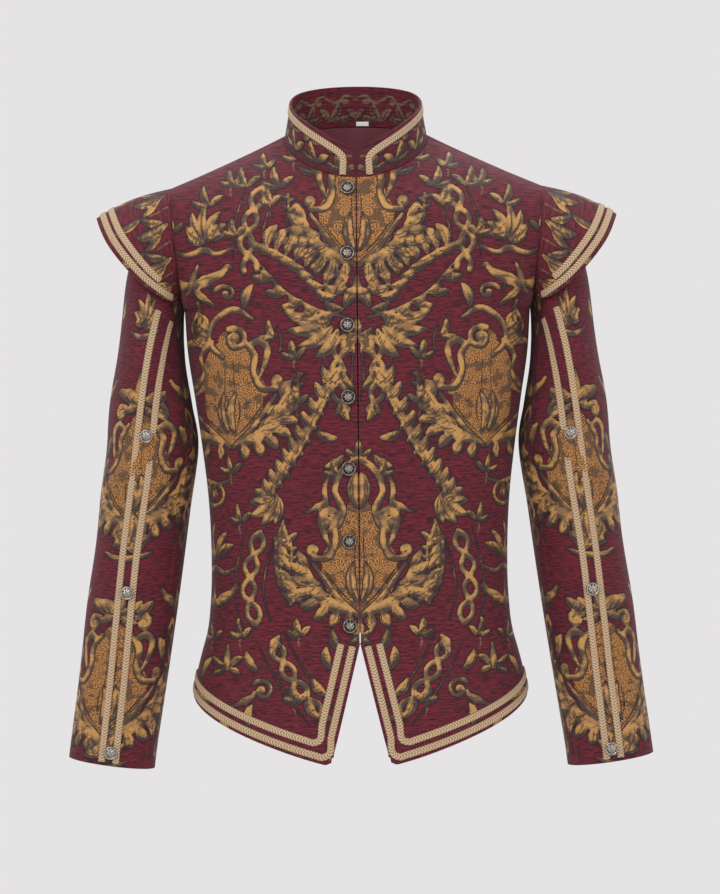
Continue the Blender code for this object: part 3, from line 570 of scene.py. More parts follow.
class Figure:
    def __init__(self):
        self.strokes = []

    def stroke(self, kind, points, widths):
        points = np.array(points, float)
        count = len(points)
        padded = np.concatenate([[2 * points[0] - points[1]], points, [2 * points[-1] - points[-2]]])
        parts = []
        for k in range(count - 1):
            a, b, c, d = padded[k : k + 4]
            steps = max(2, int(np.hypot(*(c - b)) / 3))
            t = (np.arange(steps) / steps)[:, None]
            bend = (2 * a - 5 * b + 4 * c - d) * t**2 + (3 * b - a - 3 * c + d) * t**3
            parts.append(0.5 * (2 * b + (c - a) * t + bend))
        line = np.concatenate(parts + [points[-1:]])
        width = np.interp(np.linspace(0, 1, len(line)), np.linspace(0, 1, len(widths)), widths)
        self.strokes.append((kind, line, width))

    def leaf(self, x, y, angle, length, width):
        turn = math.radians(angle)
        way, side = np.array([math.cos(turn), -math.sin(turn)]), np.array([math.sin(turn), math.cos(turn)])
        root = np.array([x, y], float)
        spine = [root + way * length * t + side * length * 0.12 * math.sin(math.pi * t) for t in (0, 0.33, 0.66, 1)]
        self.stroke("gold", spine, [width * w for w in (0.3, 0.85, 1.0, 0.75, 0.1)])
        self.stroke("ink", [spine[0], spine[1], spine[2], spine[2] + way * length * 0.15], (0.8, 0.6, 0.1))
        edge = side if side[1] > 0 else -side        # the lower edge, shaded where it lies over another leaf
        shares = ((0.1, 0.6), (0.35, 1.0), (0.65, 1.0), (0.95, 0.3))
        self.stroke("ink", [root + way * length * t + edge * width * w for t, w in shares], (0.5, 1.0, 1.0, 0.3))
        for t in (0.35, 0.6):
            at = root + way * length * t
            for hand in (-1, 1):
                tip = at + way * length * 0.12 + side * hand * width * 0.75
                self.stroke("ink", [at, (at + tip) / 2, tip], (0.35, 0.2, 0.0))

    def leaves(self, x, y, *each):        # for each its place from x, y, then angle, length and width
        for across, down, angle, length, width in each:
            self.leaf(x + across, y + down, angle, length, width)

    def plume(self, points, width, lobes, side, size):        # a stem with feathered leaves on one side
        self.stroke("gold", points, (width * 0.6, width, width * 0.8, width * 0.3))
        points = np.array(points, float)
        along = np.linspace(0, len(points) - 1, lobes + 2)[1:-1]
        for place in along:
            k = min(int(place), len(points) - 2)
            at = points[k] + (points[k + 1] - points[k]) * (place - k)
            way = points[k + 1] - points[k]
            angle = math.degrees(math.atan2(-way[1], way[0])) + side * 42
            self.leaf(at[0], at[1], angle, size * 1.35, size * 0.3)
            self.leaf(at[0], at[1], angle - side * 26, size * 0.9, size * 0.24)

    def scroll(self, x, y, radius, turns, start, width, hand=1):
        t = np.linspace(0, 1, int(10 * turns) + 4)
        angle = np.radians(start) + hand * 2 * math.pi * turns * t
        r = radius * (1 - 0.85 * t)
        line = np.stack([x + r * np.cos(angle), y - r * np.sin(angle)], -1)
        self.stroke("gold", line, (width, width * 0.9, width * 0.7, width * 0.6))
        self.knob(x, y, width * 1.5)

    def knob(self, x, y, radius):
        self.stroke("gold", [(x - 0.1, y), (x, y), (x + 0.1, y)], (radius, radius))
        self.stroke("ink", [(x - radius * 0.2, y + radius * 0.3), (x + radius * 0.3, y)], (radius * 0.25, 0.1))

    def ribbon(self, points, swing, pitch, width):        # two twisted strands between thin lines
        points = np.array(points, float)
        length = np.concatenate([[0], np.cumsum(np.hypot(*np.diff(points, axis=0).T))])
        s = np.arange(0, length[-1], pitch / 6)
        x, y = np.interp(s, length, points[:, 0]), np.interp(s, length, points[:, 1])
        dx, dy = np.gradient(x), np.gradient(y)
        size = np.hypot(dx, dy)
        nx, ny = -dy / size, dx / size
        for phase in (0, math.pi):
            offset = swing * np.sin(2 * math.pi * s / pitch + phase)
            self.stroke("gold", np.stack([x + nx * offset, y + ny * offset], -1), (width, width))
        for hand in (-1, 1):
            offset = hand * (swing + 8)
            self.stroke("gold", np.stack([x + nx * offset, y + ny * offset], -1)[::3], (0.1, 0.75, 0.1))

    def bird(self, x, y, size, hand):        # a small perched bird, side on
        def at(dx, dy):
            return (x + hand * dx * size, y + dy * size)
        for places, shares in (
            (((-1.0, 0.5), (-0.2, 0.1), (0.5, -0.3), (0.8, -0.75)), (0.1, 0.42, 0.3, 0.17)),
            (((0.8, -0.8), (1.0, -0.78), (1.25, -0.66)), (0.2, 0.13, 0.02)),
            (((-0.7, 0.35), (-1.3, 0.65), (-1.9, 0.65)), (0.22, 0.14, 0.05)),
        ):
            self.stroke("gold", [at(*place) for place in places], [size * w for w in shares])
        self.stroke("ink", [at(-0.8, 0.2), at(-0.2, -0.05), at(0.3, 0.05)], (0.3, 0.8, 0.3))
        self.stroke("gold", [at(0.0, 0.4), at(0.05, 0.95)], (0.7, 0.5))

    def fleuron(self, x, y, size):
        stem = [(x, y - size), (x, y - size * 0.3), (x, y + size * 0.5)]
        self.stroke("gold", stem, [size * w for w in (0.04, 0.3, 0.12)])
        for hand in (-1, 1):
            if x or hand > 0:
                self.leaf(x + hand * size * 0.15, y + size * 0.3, 90 - hand * 55, size * 0.95, size * 0.22)
                self.leaf(x + hand * size * 0.15, y + size * 0.5, 90 - hand * 110, size * 0.7, size * 0.18)

    def fields(self, place, wanted=("gold", "vine", "stipple", "ink")):
        # how far each place lies inside each kind of stroke
        flat = place.reshape(-1, 2)
        found = {kind: np.full(len(flat), noFigure) for kind in wanted}
        for kind, line, width in self.strokes:
            if kind not in wanted:
                continue
            reach = width.max() + 5
            low, high = line.min(axis=0) - reach, line.max(axis=0) + reach
            near = np.flatnonzero(((flat > low) & (flat < high)).all(axis=1))
            if not len(near):
                continue
            here = flat[near]
            best = np.full(len(near), noFigure)
            for k in range(len(line) - 1):
                way = line[k + 1] - line[k]
                t = np.clip(((here - line[k]) @ way) / max(way @ way, 1e-9), 0, 1)
                off = here - line[k] - t[:, None] * way
                best = np.maximum(best, width[k] + (width[k + 1] - width[k]) * t - np.hypot(off[:, 0], off[:, 1]))
            found[kind][near] = np.maximum(found[kind][near], best)
        return {kind: value.reshape(place.shape[:-1]) for kind, value in found.items()}


def turning(y):        # how much of the turn round the body is unrolled at this height
    t = np.clip((y - 234) / 80, 0, 1)
    return t * t * (3 - 2 * t)


def roundLength(share):
    return np.interp(share, *quarterRun())


def bodyPlace(points, side):
    x, y, z = np.abs(points[..., 0]), np.abs(points[..., 1]), points[..., 2]
    n = body["squareness"]
    half, reach = follow(body["sections"], 1, z), reachOf(side, z)
    share = np.degrees(np.arctan2((x / half) ** (n / 2), (y / reach) ** (n / 2))) / 90
    down = view["middleRow"] + (view["middleHeight"] - z) * figureScale
    w = turning(down)
    return np.stack([(x * (1 - w) + roundLength(share) * half * w) * figureScale, down], -1)


def unroll(figure):        # moves strokes drawn as the picture shows them onto the unrolled cloth
    n, half = body["squareness"], body["figureHalf"]
    for _, line, _ in figure.strokes:
        across = line[:, 0] / figureScale
        x = np.clip(across, 0, half)
        share = np.degrees(np.arcsin((x / half) ** (n / 2))) / 90
        w = turning(line[:, 1])
        beyond = np.maximum(across - half, 0)
        line[:, 0] = (across * (1 - w) + (roundLength(share) * half + beyond) * w) * figureScale


def cartouche(figure, x, y, side):        # half of one: stippled body, scroll and knob, and feathered leaves below
    def at(*points):
        return [(x + side * across, y + down) for across, down in points]

    def turned(angle):
        return angle if side > 0 else 180 - angle

    figure.stroke("stipple", at((0, 162), (0, 186), (0, 202), (0, 216), (0, 238), (0, 262)), (13, 19, 23, 38, 24, 5))
    figure.stroke("stipple", at((12, 170), (22, 196), (34, 210)), (8, 10, 5))
    figure.stroke("gold", at((15, 160), (25, 174), (24, 192), (32, 207), (46, 208)), (2.2, 3.6, 2.8, 3.4, 2.4))
    figure.stroke("gold", at((46, 214), (36, 228), (22, 247), (2, 266)), (1.6, 2.4, 2.4, 2.0))
    figure.stroke("ink", at((40, 214), (31, 226), (18, 243), (2, 258)), (0.5, 1.1, 1.1, 0.4))
    figure.stroke("ink", at((49, 218), (40, 232), (27, 250)), (0.4, 0.9, 0.4))
    figure.stroke("gold", at((19, 165), (30, 160), (38, 168), (35, 184), (30, 196)), (2.6, 4.0, 3.4, 2.8, 1.2))
    figure.knob(*at((47, 200))[0], 6.0)
    figure.stroke("ink", at((4, 180), (5, 208), (10, 222)), (0.5, 0.9, 0.3))
    figure.stroke("ink", at((8, 228), (18, 222), (28, 226)), (0.3, 0.9, 0.3))
    figure.leaf(*at((3, 250))[0], turned(86), 38, 5)
    for across, down, angle, length in (
        (24, 262, -64, 15), (12, 266, -84, 12), (34, 256, -44, 18), (42, 248, -24, 20), (47, 240, -4, 21),
        (50, 232, 16, 20), (52, 224, 36, 19), (52, 216, 58, 18), (30, 246, 12, 20), (38, 236, 30, 18),
    ):
        figure.leaf(*at((across, down))[0], turned(angle), length, 5.4)
    figure.stroke("gold", at((10, 262), (30, 254), (46, 238), (53, 220)), (3.0, 6.4, 6.4, 3.0))
    for across, down in ((20, 257), (31, 251), (40, 242), (47, 232)):
        figure.stroke("ink", at((across, down), (across + 6, down + 3)), (0.8, 0.3))
    figure.stroke("gold", at((70, 222), (68, 206), (69, 192)), (0.5, 0.9, 1.4))
    for down, angle in ((208, 40), (202, 140), (198, 40), (212, 140)):
        figure.leaf(*at((68, down))[0], turned(angle), 9, 1.8)


def bodyFigure():
    f = Figure()
    for x, y, sides in ((0, 0, (1,)), (128, 180, (-1, 1)), (0, 350, (1,))):
        for side in sides:
            cartouche(f, x, y, side)
    f.fleuron(0, 290, 16)
    f.leaf(14, 292, 20, 20, 5)
    f.leaf(12, 282, 55, 15, 4)
    # shoulder sprays and the crown over the birds
    for x, y in ((40, 158), (78, 172), (112, 170), (150, 190)):
        f.leaves(x, y, (0, 10, 75, 22, 4), (2, 12, 25, 18, 3.2), (-2, 12, 140, 18, 3.2))
    f.ribbon([(96, 184), (105, 212), (111, 240), (106, 270)], 7.0, 48, 2.7)
    for angle, length in ((90, 40), (64, 34), (116, 34), (38, 27), (142, 27), (12, 20), (168, 20)):
        f.leaf(152, 238, angle, length, 4.6)
    f.stroke("gold", [(124, 246), (140, 252), (152, 247), (166, 252), (182, 246)], (1.0, 2.4, 3.0, 2.4, 1.0))
    f.bird(140, 276, 14, -1)
    f.bird(168, 276, 14, 1)
    f.stroke("gold", [(154, 262), (154, 276), (154, 292)], (0.8, 4.6, 1.2))
    f.scroll(128, 292, 9, 1.1, 20, 1.8)
    f.scroll(182, 292, 9, 1.1, 160, 1.8, -1)
    # the garland that rises from the middle
    for k in range(9):
        t = k / 8
        x, y = 12 + 78 * t, 306 - 62 * t - 10 * math.sin(math.pi * t)
        f.leaves(x, y, (0, 0, 128 - 10 * t, 23, 5.6), (3, 4, 24 + 8 * t, 19, 4.6))
    f.plume([(10, 318), (40, 310), (72, 292), (98, 262)], 1.8, 5, -1, 15)
    fan = (30, 318, 10, 44), (29, 323, -8, 42), (26, 328, -28, 38), (20, 331, -50, 34), (10, 334, -72, 24)
    for x, y, angle, length in fan:
        f.leaf(x, y, angle, length, 6.2)
    f.fleuron(0, 332, 16)
    f.leaves(84, 336, (0, 0, 75, 17, 4), (0, 2, 15, 14, 3.4))
    f.stroke("gold", [(78, 352), (76, 340), (80, 326)], (0.5, 1.0, 0.4))
    # round the cartouche at the side
    f.stroke("gold", [(104, 318), (122, 308), (140, 318), (146, 340), (134, 356)], (1.2, 3.4, 3.0, 3.4, 2.0))
    f.scroll(122, 338, 12, 1.5, 60, 2.8)
    f.plume([(170, 348), (186, 380), (190, 420), (178, 456)], 2.6, 7, -1, 15)
    f.plume([(150, 300), (158, 322), (156, 340)], 2.6, 3, -1, 14)
    f.leaf(112, 306, 110, 24, 5)
    f.leaf(140, 304, 70, 24, 5)
    # the middle between the cartouches
    f.ribbon([(16, 338), (20, 362), (20, 388), (14, 416)], 6.4, 44, 2.5)
    for x, y, angle in ((4, 352, 80), (6, 388, 60), (10, 420, 78), (22, 438, 20), (16, 456, -30)):
        f.leaf(x, y, angle, 21, 4.4)
    for k in range(10):
        t = k / 9
        x, y = 22 + 62 * t, 384 + 112 * t + 8 * math.sin(math.pi * t)
        f.leaves(x, y, (0, 0, 52 + 6 * t, 22, 5.2), (5, -2, 128 - 10 * t, 18, 4.6))
    for angle, length in ((-88, 30), (-64, 34), (-40, 34), (-14, 28), (14, 22)):
        f.leaf(84, 494, angle, length, 5.8)
    f.bird(40, 506, 8.5, -1)
    f.fleuron(0, 452, 14)
    # the lower middle cartouche
    f.stroke("gold", [(0, 458), (16, 470), (24, 490), (16, 510), (20, 526)], (3.0, 3.6, 2.8, 3.4, 2.0))
    f.stroke("gold", [(26, 470), (34, 486), (32, 506), (24, 520)], (0.8, 2.4, 2.4, 0.8))
    f.leaf(2, 506, 90, 34, 6)
    f.scroll(34, 524, 8, 1.2, 240, 2.4, -1)
    f.fleuron(0, 632, 14)
    f.ribbon([(100, 532), (110, 566), (113, 596), (104, 626)], 7.0, 48, 2.7)
    for angle, length in ((90, 38), (62, 32), (118, 32), (34, 26), (146, 26)):
        f.leaf(150, 560, angle, length, 4.6)
    f.stroke("gold", [(126, 568), (140, 574), (150, 569), (162, 574), (176, 568)], (1.0, 2.4, 2.8, 2.4, 1.0))
    f.bird(138, 598, 13, -1)
    f.bird(166, 598, 13, 1)
    f.stroke("gold", [(152, 584), (152, 598), (152, 612)], (0.8, 4.4, 1.2))
    f.plume([(76, 520), (84, 548), (82, 580), (70, 606)], 2.2, 6, -1, 14)
    f.plume([(132, 480), (158, 490), (178, 516), (182, 546)], 2.4, 6, 1, 14)
    f.scroll(150, 496, 13, 1.4, 120, 2.4)
    # the peplum
    f.ribbon([(88, 642), (72, 672), (52, 700), (32, 724)], 6.4, 44, 2.5)
    f.bird(114, 700, 9.5, -1)
    f.fleuron(134, 662, 17)
    for x, y, angle in (
        (30, 668, 80), (34, 694, 50), (44, 716, 70), (104, 670, 60), (112, 726, 100), (148, 704, 40),
        (156, 680, 110), (170, 660, 60), (128, 736, 60), (20, 650, 70), (88, 656, 110),
    ):
        f.leaf(x, y, angle, 22, 4.8)
    f.scroll(98, 690, 11, 1.3, 40, 2.0)
    # small sprays that fill the ground
    for x, y in (
        (24, 150), (62, 152), (92, 160), (126, 178), (86, 200), (122, 232), (186, 226), (62, 356),
        (60, 402), (196, 300), (198, 372), (194, 430), (22, 474), (72, 540), (60, 634), (128, 470),
        (120, 520), (168, 620), (196, 590), (196, 500), (120, 636), (150, 640), (186, 690), (64, 700),
    ):
        f.leaves(x, y, (0, 0, 78, 17, 3.8), (-2, 2, 132, 13, 3.0), (2, 2, 28, 13, 3.0))
        f.stroke("vine", [(x, y + 16), (x + 2, y + 8), (x, y)], (0.4, 1.2, 1.0))
    # beyond the side seam's turn, where only the sides and the back show it
    for y in (210, 300, 390, 480, 570, 660):
        f.fleuron(222, y, 17)
        f.plume([(204, y + 20), (222, y + 34), (244, y + 30), (256, y + 8)], 2.4, 5, 1, 14)
        f.leaf(246, y - 10, 100, 26, 5)
        f.scroll(208, y + 56, 11, 1.3, 20, 2.0)
        f.leaf(232, y + 62, 60, 24, 5)
    return f


def sleeveFigure():
    f = Figure()
    for x in (-8, -142, 126):
        for y in (262, 480):
            for side in (-1, 1):
                cartouche(f, x, y, side)
        for y in (392, 610):        # a fleuron over each cartouche, with scrolls
            f.fleuron(x, y, 24)
            f.leaves(x, y, (-12, 8, 150, 26, 5.6), (12, 8, 30, 26, 5.6))
            f.scroll(x - 26, y + 18, 9, 1.3, 40, 2.4)
            f.scroll(x + 26, y + 18, 9, 1.3, 140, 2.4, -1)
        for y in (318, 548, 764):
            for angle, length in ((90, 36), (60, 31), (120, 31), (30, 25), (150, 25), (2, 17), (178, 17)):
                f.leaf(x, y, angle, length, 5.2)
            base = [(x - 26, y + 6), (x - 10, y + 12), (x + 10, y + 12), (x + 26, y + 6)]
            f.stroke("gold", base, (1.0, 3.0, 3.0, 1.0))
    for x in (-75, 59):
        for y in (240, 386, 604):
            f.bird(x - 13, y, 12, -1)
            f.bird(x + 13, y, 12, 1)
            f.leaf(x, y + 14, 90, 24, 4.8)
        for y in (300, 440, 520, 660, 740):
            f.ribbon([(x - 3, y - 34), (x + 4, y), (x - 2, y + 34)], 6.0, 44, 2.4)
            f.leaves(x, y, (14, 14, 70, 24, 5.2), (-14, 6, 110, 24, 5.2))
    return f


def wingFigure():
    f = Figure()
    for k in range(9):
        x = 18 + k * 32
        f.leaves(x, 6, (0, 0, -90, 34, 5), (-4, 6, -118, 24, 3.6), (4, 6, -62, 24, 3.6), (16, 28, -90, 26, 4.2))
        f.stroke("vine", [(x + 16, 4), (x + 14, 20), (x + 18, 34)], (1.2, 0.8))
        f.scroll(x + 15, 64, 7, 1.1, 60, 1.5)
    return f


def collarFigure():
    f = Figure()
    for k in range(8):
        x = 8 + k * 27
        f.leaves(x, 34, (0, 0, 70, 20, 4), (4, 0, 20, 16, 3.2), (-2, 0, 130, 16, 3.2))
        f.stroke("vine", [(x - 8, 10), (x + 4, 16), (x + 14, 8)], (1.2, 1.4, 0.8))
        f.scroll(x + 14, 14, 5.5, 1.1, 60, 1.4)
    return f


placed = []


def asCloth(name, sheets, material, figure, wall, relief=None):
    # each sheet is its points, outward directions, figure places, and how many rows run on at its first column
    corners, places, shapes, starts, fields = [], [], [], 0, []
    for points, out, place, joined in sheets:
        pad = ((2, 2), (2, 2), (0, 0))
        wide, wideOut, widePlace = (np.pad(grid, pad, mode="edge") for grid in (points, out, place))
        rows, columns = wide.shape[:2]
        row, column = np.meshgrid(np.arange(rows), np.arange(columns), indexing="ij")
        ring = np.maximum(np.maximum(2 - row, row - (rows - 3)), np.maximum(2 - column, column - (columns - 3)))
        depth = np.choose(np.clip(ring, 0, 2), (0.0, 0.55, wall))
        if relief is not None:
            wide = wide + wideOut * relief(widePlace)[..., None] * (ring <= 0)[..., None]
        corners.append((wide - wideOut * depth[..., None]).reshape(-1, 3))
        places.append(widePlace.reshape(-1, 2))
        found = figure.fields(widePlace)
        # the gold field again, shifted down and across: the jacquard paints shade where this is low, along each shape's
        # lower edge
        found["under"] = figure.fields(widePlace + (0.9, 2.2), ("gold",))["gold"]
        fields.append({kind: value.reshape(-1) for kind, value in found.items()})
        faces = gridFaces(rows, columns, corners[-1], wideOut)
        lowCell = (np.arange(rows - 1)[:, None] < joined + 1) & (np.arange(columns - 1)[None, :] < 2)
        shapes.append(faces[~lowCell.reshape(-1)] + starts)
        starts += len(corners[-1])
    corners, places, shapes = np.concatenate(corners), np.concatenate(places), np.concatenate(shapes)
    _, first, index = np.unique(np.round(corners, 3), axis=0, return_index=True, return_inverse=True)
    values = {kind: np.concatenate([f[kind] for f in fields])[first] for kind in fields[0]}
    shapes = index.reshape(-1)[shapes]
    whole = np.array([len(set(face)) == 4 for face in shapes.tolist()])
    return asMesh(name, corners[first], shapes[whole], places[first] * view["pixel"] / 1000, values, material)


def asFacing(name, sheets, material, wall, coarse, figure=None, relief=None):        # the inner face, at a coarser grid
    corners, places, shapes, starts, fields = [], [], [], 0, []
    for points, out, place, _ in sheets:
        some = np.ix_(*(np.unique(np.append(np.arange(0, n, coarse), n - 1)) for n in points.shape[:2]))
        rise = 0 if relief is None else relief(place[some])[..., None]
        corners.append((points[some] - out[some] * (wall - rise)).reshape(-1, 3))
        places.append(place[some].reshape(-1, 2))
        shapes.append(gridFaces(*points[some].shape[:2], corners[-1], -out[some]) + starts)
        starts += len(corners[-1])
        found = (figure or Figure()).fields(places[-1])
        found["vine"] = np.maximum(found["vine"], found["gold"])
        found["gold"] = found["under"] = np.full(len(places[-1]), noFigure)
        fields.append(found)
    values = {kind: np.concatenate([f[kind] for f in fields]) for kind in fields[0]}
    places = np.concatenate(places) * view["pixel"] / 1000
    piece = asMesh(name, np.concatenate(corners), np.concatenate(shapes), places, values, material)
    seat(piece, "lining" if figure is None else "jacquard")
    declare(piece, sheets)


def gridFaces(rows, columns, corners, out):
    k = np.arange(rows * columns).reshape(rows, columns)
    faces = np.stack([k[:-1, :-1], k[:-1, 1:], k[1:, 1:], k[1:, :-1]], -1).reshape(-1, 4)
    way = np.cross(corners[faces[:, 1]] - corners[faces[:, 0]], corners[faces[:, 3]] - corners[faces[:, 0]])
    toward = (way * out.reshape(-1, 3)[faces[:, 0]]).sum()
    return faces if toward > 0 else faces[:, ::-1]


def ringFaces(rows, columns):        # each row of corners is a closed ring
    k = np.arange(rows * columns).reshape(rows, columns)
    after = np.roll(k, -1, axis=1)
    return np.stack([k[:-1], after[:-1], after[1:], k[1:]], -1).reshape(-1, 4)


def asMesh(name, corners, faces, places, values, material):
    mesh = bpy.data.meshes.new(name)
    mesh.from_pydata((corners / 1000).tolist(), [], faces.tolist())
    cloth = mesh.uv_layers.new(name="cloth")
    cells = np.empty(len(mesh.loops), int)
    mesh.loops.foreach_get("vertex_index", cells)
    cloth.data.foreach_set("uv", places[cells].astype(np.float32).reshape(-1))
    for kind, value in values.items():
        mesh.attributes.new(kind, "FLOAT", "POINT").data.foreach_set("value", value.astype(np.float32))
    mesh.materials.append(material)
    mesh.polygons.foreach_set("use_smooth", [True] * len(mesh.polygons))
    thing = bpy.data.objects.new(name, mesh)
    bpy.context.scene.collection.objects.link(thing)
    return thing


def seat(piece, slot, *nodes):        # everything rides on the one body
    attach(piece, "root")
    if nodes:
        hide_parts(*nodes)
    placed.append(piece.name)


def declare(piece, sheets):        # the cut laid flat, measured on the grid itself
    area = width = length = 0.0
    for points, *_ in sheets:
        across = np.linalg.norm(np.diff(points, axis=1), axis=-1)
        along = np.linalg.norm(np.diff(points, axis=0), axis=-1)
        area += float((across[:-1] * along[:, :-1]).sum()) / 1e6
        width += float(across.sum(axis=1).max()) / 1000
        length = max(length, float(along.sum(axis=0).max()) / 1000)
    print(f"  {piece.name}: cut {width:.2f} x {length:.2f} m, {area:.3f} m2")


def bothHands(name, points, out, place, node, materials, figure, relief=None):
    for side, turn in hands:
        sheet = [(points * turn, out * turn, place, 0)]
        piece = asCloth(name.format(side), sheet, materials[0], figure, body["wall"], relief)
        seat(piece, "jacquard", node.format(side))
        declare(piece, sheet)
        facing, coarse = name.format(side).replace("cloth", "lining"), 2 if relief else body["coarse"]
        asFacing(facing, sheet, materials[1], body["wall"], coarse, relief=relief)


def makeBody(jacquard, lining):
    figure = bodyFigure()
    unroll(figure)
    points, _ = halfBody(-1, body["grid"])
    points[:, 0, 0] += body["slit"]
    grids = points, outward(points, trunkMiddle), bodyPlace(points, -1)
    bothHands("cloth_front_{}", *grids, "front_{}", [jacquard, lining], figure)
    points, joined = halfBody(1, body["backGrid"])
    out, place = outward(points, trunkMiddle), bodyPlace(points, 1)
    sheets = [(points, out, place, joined), (points * flip, out * flip, place, joined)]
    piece = asCloth("cloth_back", sheets, jacquard, figure, body["wall"])
    seat(piece, "jacquard", "back")
    declare(piece, sheets)
    asFacing("lining_back", sheets, lining, body["wall"], body["coarse"])
    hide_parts("back_lining")
    for side, place in ((-1, "front"), (1, "back")):
        points = halfPeplum(side, body["grid"])
        grids = points, outward(points, trunkMiddle), bodyPlace(points, side)
        bothHands(f"cloth_peplum_{place}_{{}}", *grids, f"peplum_{place}_{{}}", [jacquard, lining], figure)
    print("body cut")


def softFolds(place):        # the arm's cloth isn't quite smooth: slack across it, most at the elbow
    x, y = place[..., 0], place[..., 1]
    elbow = np.exp(-(((y - 430) / 90) ** 2))
    sway = np.sin(y / 17 + 1.4 * np.sin(x / 31) + x / 43) * (0.35 + elbow)
    return sleeve["folds"] * (sway + 0.6 * np.sin(x / 19 + y / 61)) * np.clip((700 - y) / 60, 0, 1)


def sleevePlace(points, angles):
    down = view["middleRow"] + (view["middleHeight"] - points[..., 2]) * sleeveScale
    radius = np.interp(-points[..., 2], *sleeve["radius"])
    return np.stack([np.radians(angles - sleeve["figureAngle"]) * radius * figureScale, down], -1)


def makeSleeves(jacquard, lining):
    figure, front, back = sleeveFigure(), sleeve["frontSeam"], sleeve["backSeam"]
    for name, first, last, relief in (("outer", back - 360, front, softFolds), ("under", front, back, None)):
        points = sleevePoints(first, last, sleeve["grid"])
        angles = np.linspace(first, last, points.shape[1])[None, :] + np.zeros(points.shape[:2])
        grids = points, outward(points, armMiddle), sleevePlace(points, angles)
        bothHands(f"cloth_sleeve_{{}}_{name}", *grids, f"sleeve_{{}}_{name}", [jacquard, lining], figure, relief)
    points = wingPoints(body["grid"])
    along = np.linspace(0, 1, points.shape[1])[None, :] + np.zeros(points.shape[:2])
    run = np.stack([runLength(points, 1).max() * along, runLength(points, 0)], -1)
    grids = points, outward(points, shoulderMiddle), run * figureScale
    bothHands("cloth_wing_{}", *grids, "wing_{}", [jacquard, lining], wingFigure())
    print("sleeves cut")


def makeCollar(jacquard):
    points = collarPoints(body["grid"])
    rows, columns = points.shape[:2]
    along, down = np.meshgrid(np.linspace(0, 1, columns), np.linspace(collarTop["height"], 0, rows))
    run = np.stack([np.minimum(along, 1 - along) * collarTop["figureRound"], down], -1)
    sheet = [(points, outward(points, neckMiddle), run * figureScale, 0)]
    piece = asCloth("cloth_collar", sheet, jacquard, collarFigure(), body["wall"])
    seat(piece, "jacquard", "collar")
    declare(piece, sheet)
    asFacing("facing_collar", sheet, jacquard, body["wall"], 1, collarFigure())


braid = {"width": 8.0, "thickness": 1.5, "lift": 0.35, "pitch": 3.4, "across": 13, "step": 0.8}


def smoothLine(points, step):        # evenly spaced places on a smooth curve through the points
    points = np.array(points, float)
    run = np.concatenate([[0], np.cumsum(np.linalg.norm(np.diff(points, axis=0), axis=1))])
    table = np.column_stack([run, points])
    at = np.linspace(0, run[-1], max(4, int(run[-1] / step)))
    return np.stack([follow(table, k, at) for k in range(1, points.shape[1] + 1)], -1)


def layBraid(name, points, outs, node, material):        # a flat plait: two sets of strands that cross
    user = braid
    line = smoothLine(np.concatenate([points, outs], axis=1), user["step"])
    centre, out = line[:, :3], line[:, 3:] / np.linalg.norm(line[:, 3:], axis=1, keepdims=True)
    way = np.gradient(centre, axis=0)
    side = np.cross(out, way)
    side /= np.linalg.norm(side, axis=1, keepdims=True)
    run = np.concatenate([[0], np.cumsum(np.linalg.norm(np.diff(centre, axis=0), axis=1))])
    v = np.linspace(-1, 1, user["across"])
    phase = 2 * math.pi * (run[:, None] / user["pitch"] + np.abs(v)[None, :] * 0.9)
    crown = np.sqrt(np.maximum(0, 1 - np.abs(v) ** 4))[None, :]
    groove = 1 - 0.35 * np.exp(-((v / 0.12) ** 2))[None, :]
    twist = (0.5 + 0.5 * np.sin(phase)) * crown * groove
    rise = user["lift"] + user["thickness"] * (0.5 + 0.28 * crown * groove) + 0.3 * twist - 0.35 * (1 - crown)
    edge = 1 + 0.03 * np.sin(phase[:, -1])
    aside = v[None, :] * user["width"] / 2 * edge[:, None]
    top = centre[:, None] + side[:, None] * aside[..., None] + out[:, None] * rise[..., None]
    ends = np.array([[1.0, -1.0]])
    low = centre[:, None] + side[:, None] * (ends * user["width"] / 2)[..., None] + out[:, None] * user["lift"]
    ring = np.concatenate([top, low], axis=1)
    middle = ring.mean(axis=1, keepdims=True)        # each end closes over a ring drawn almost to a point
    closed = middle + (ring - middle) * 0.02
    ring = np.concatenate([closed[:1], ring, closed[-1:]])
    centre, twist = (np.pad(grid, ((1, 1), (0, 0)), mode="edge") for grid in (centre, twist))
    run = np.pad(run, 1, mode="edge")
    rows, columns = ring.shape[:2]
    faces = ringFaces(rows, columns)
    corners = ring.reshape(-1, 3)
    way = np.cross(corners[faces[:, 1]] - corners[faces[:, 0]], corners[faces[:, 3]] - corners[faces[:, 0]])
    middle = np.repeat(centre[:-1], columns, axis=0)
    if (way * (corners[faces[:, 0]] - middle)).sum() < 0:
        faces = faces[:, ::-1]
    # the two rows along the braid's lower edges get a low twist, which its material paints as shade
    values = {"twist": np.concatenate([twist, np.full((rows, 2), 0.2)], axis=1).reshape(-1)}
    places = np.stack([np.tile(np.append(v, (1, -1)) * user["width"] / 2, rows), np.repeat(run, columns)], -1) / 1000
    piece = asMesh(name, corners, faces, places, values, material)
    seat(piece, "braid", node)


def onGrid(points, out, rows, steps):        # points of a grid between its own
    i = np.clip(rows.astype(int), 0, points.shape[0] - 2)
    j = np.clip(steps.astype(int), 0, points.shape[1] - 2)
    r, s = (rows - i)[:, None], (steps - j)[:, None]
    def read(grid):
        low = grid[i, j] * (1 - s) + grid[i, j + 1] * s
        return low * (1 - r) + (grid[i + 1, j] * (1 - s) + grid[i + 1, j + 1] * s) * r
    return read(points), read(out)


def facingAway(out, away):        # unit length, on the side of away
    return out * (np.sign((out * away).sum(axis=1, keepdims=True)) / np.linalg.norm(out, axis=1, keepdims=True))


def bothBraids(name, points, outs, node, material):
    for side, turn in hands:
        layBraid(name.format(side), points * turn, outs * turn, node.format(side), material)


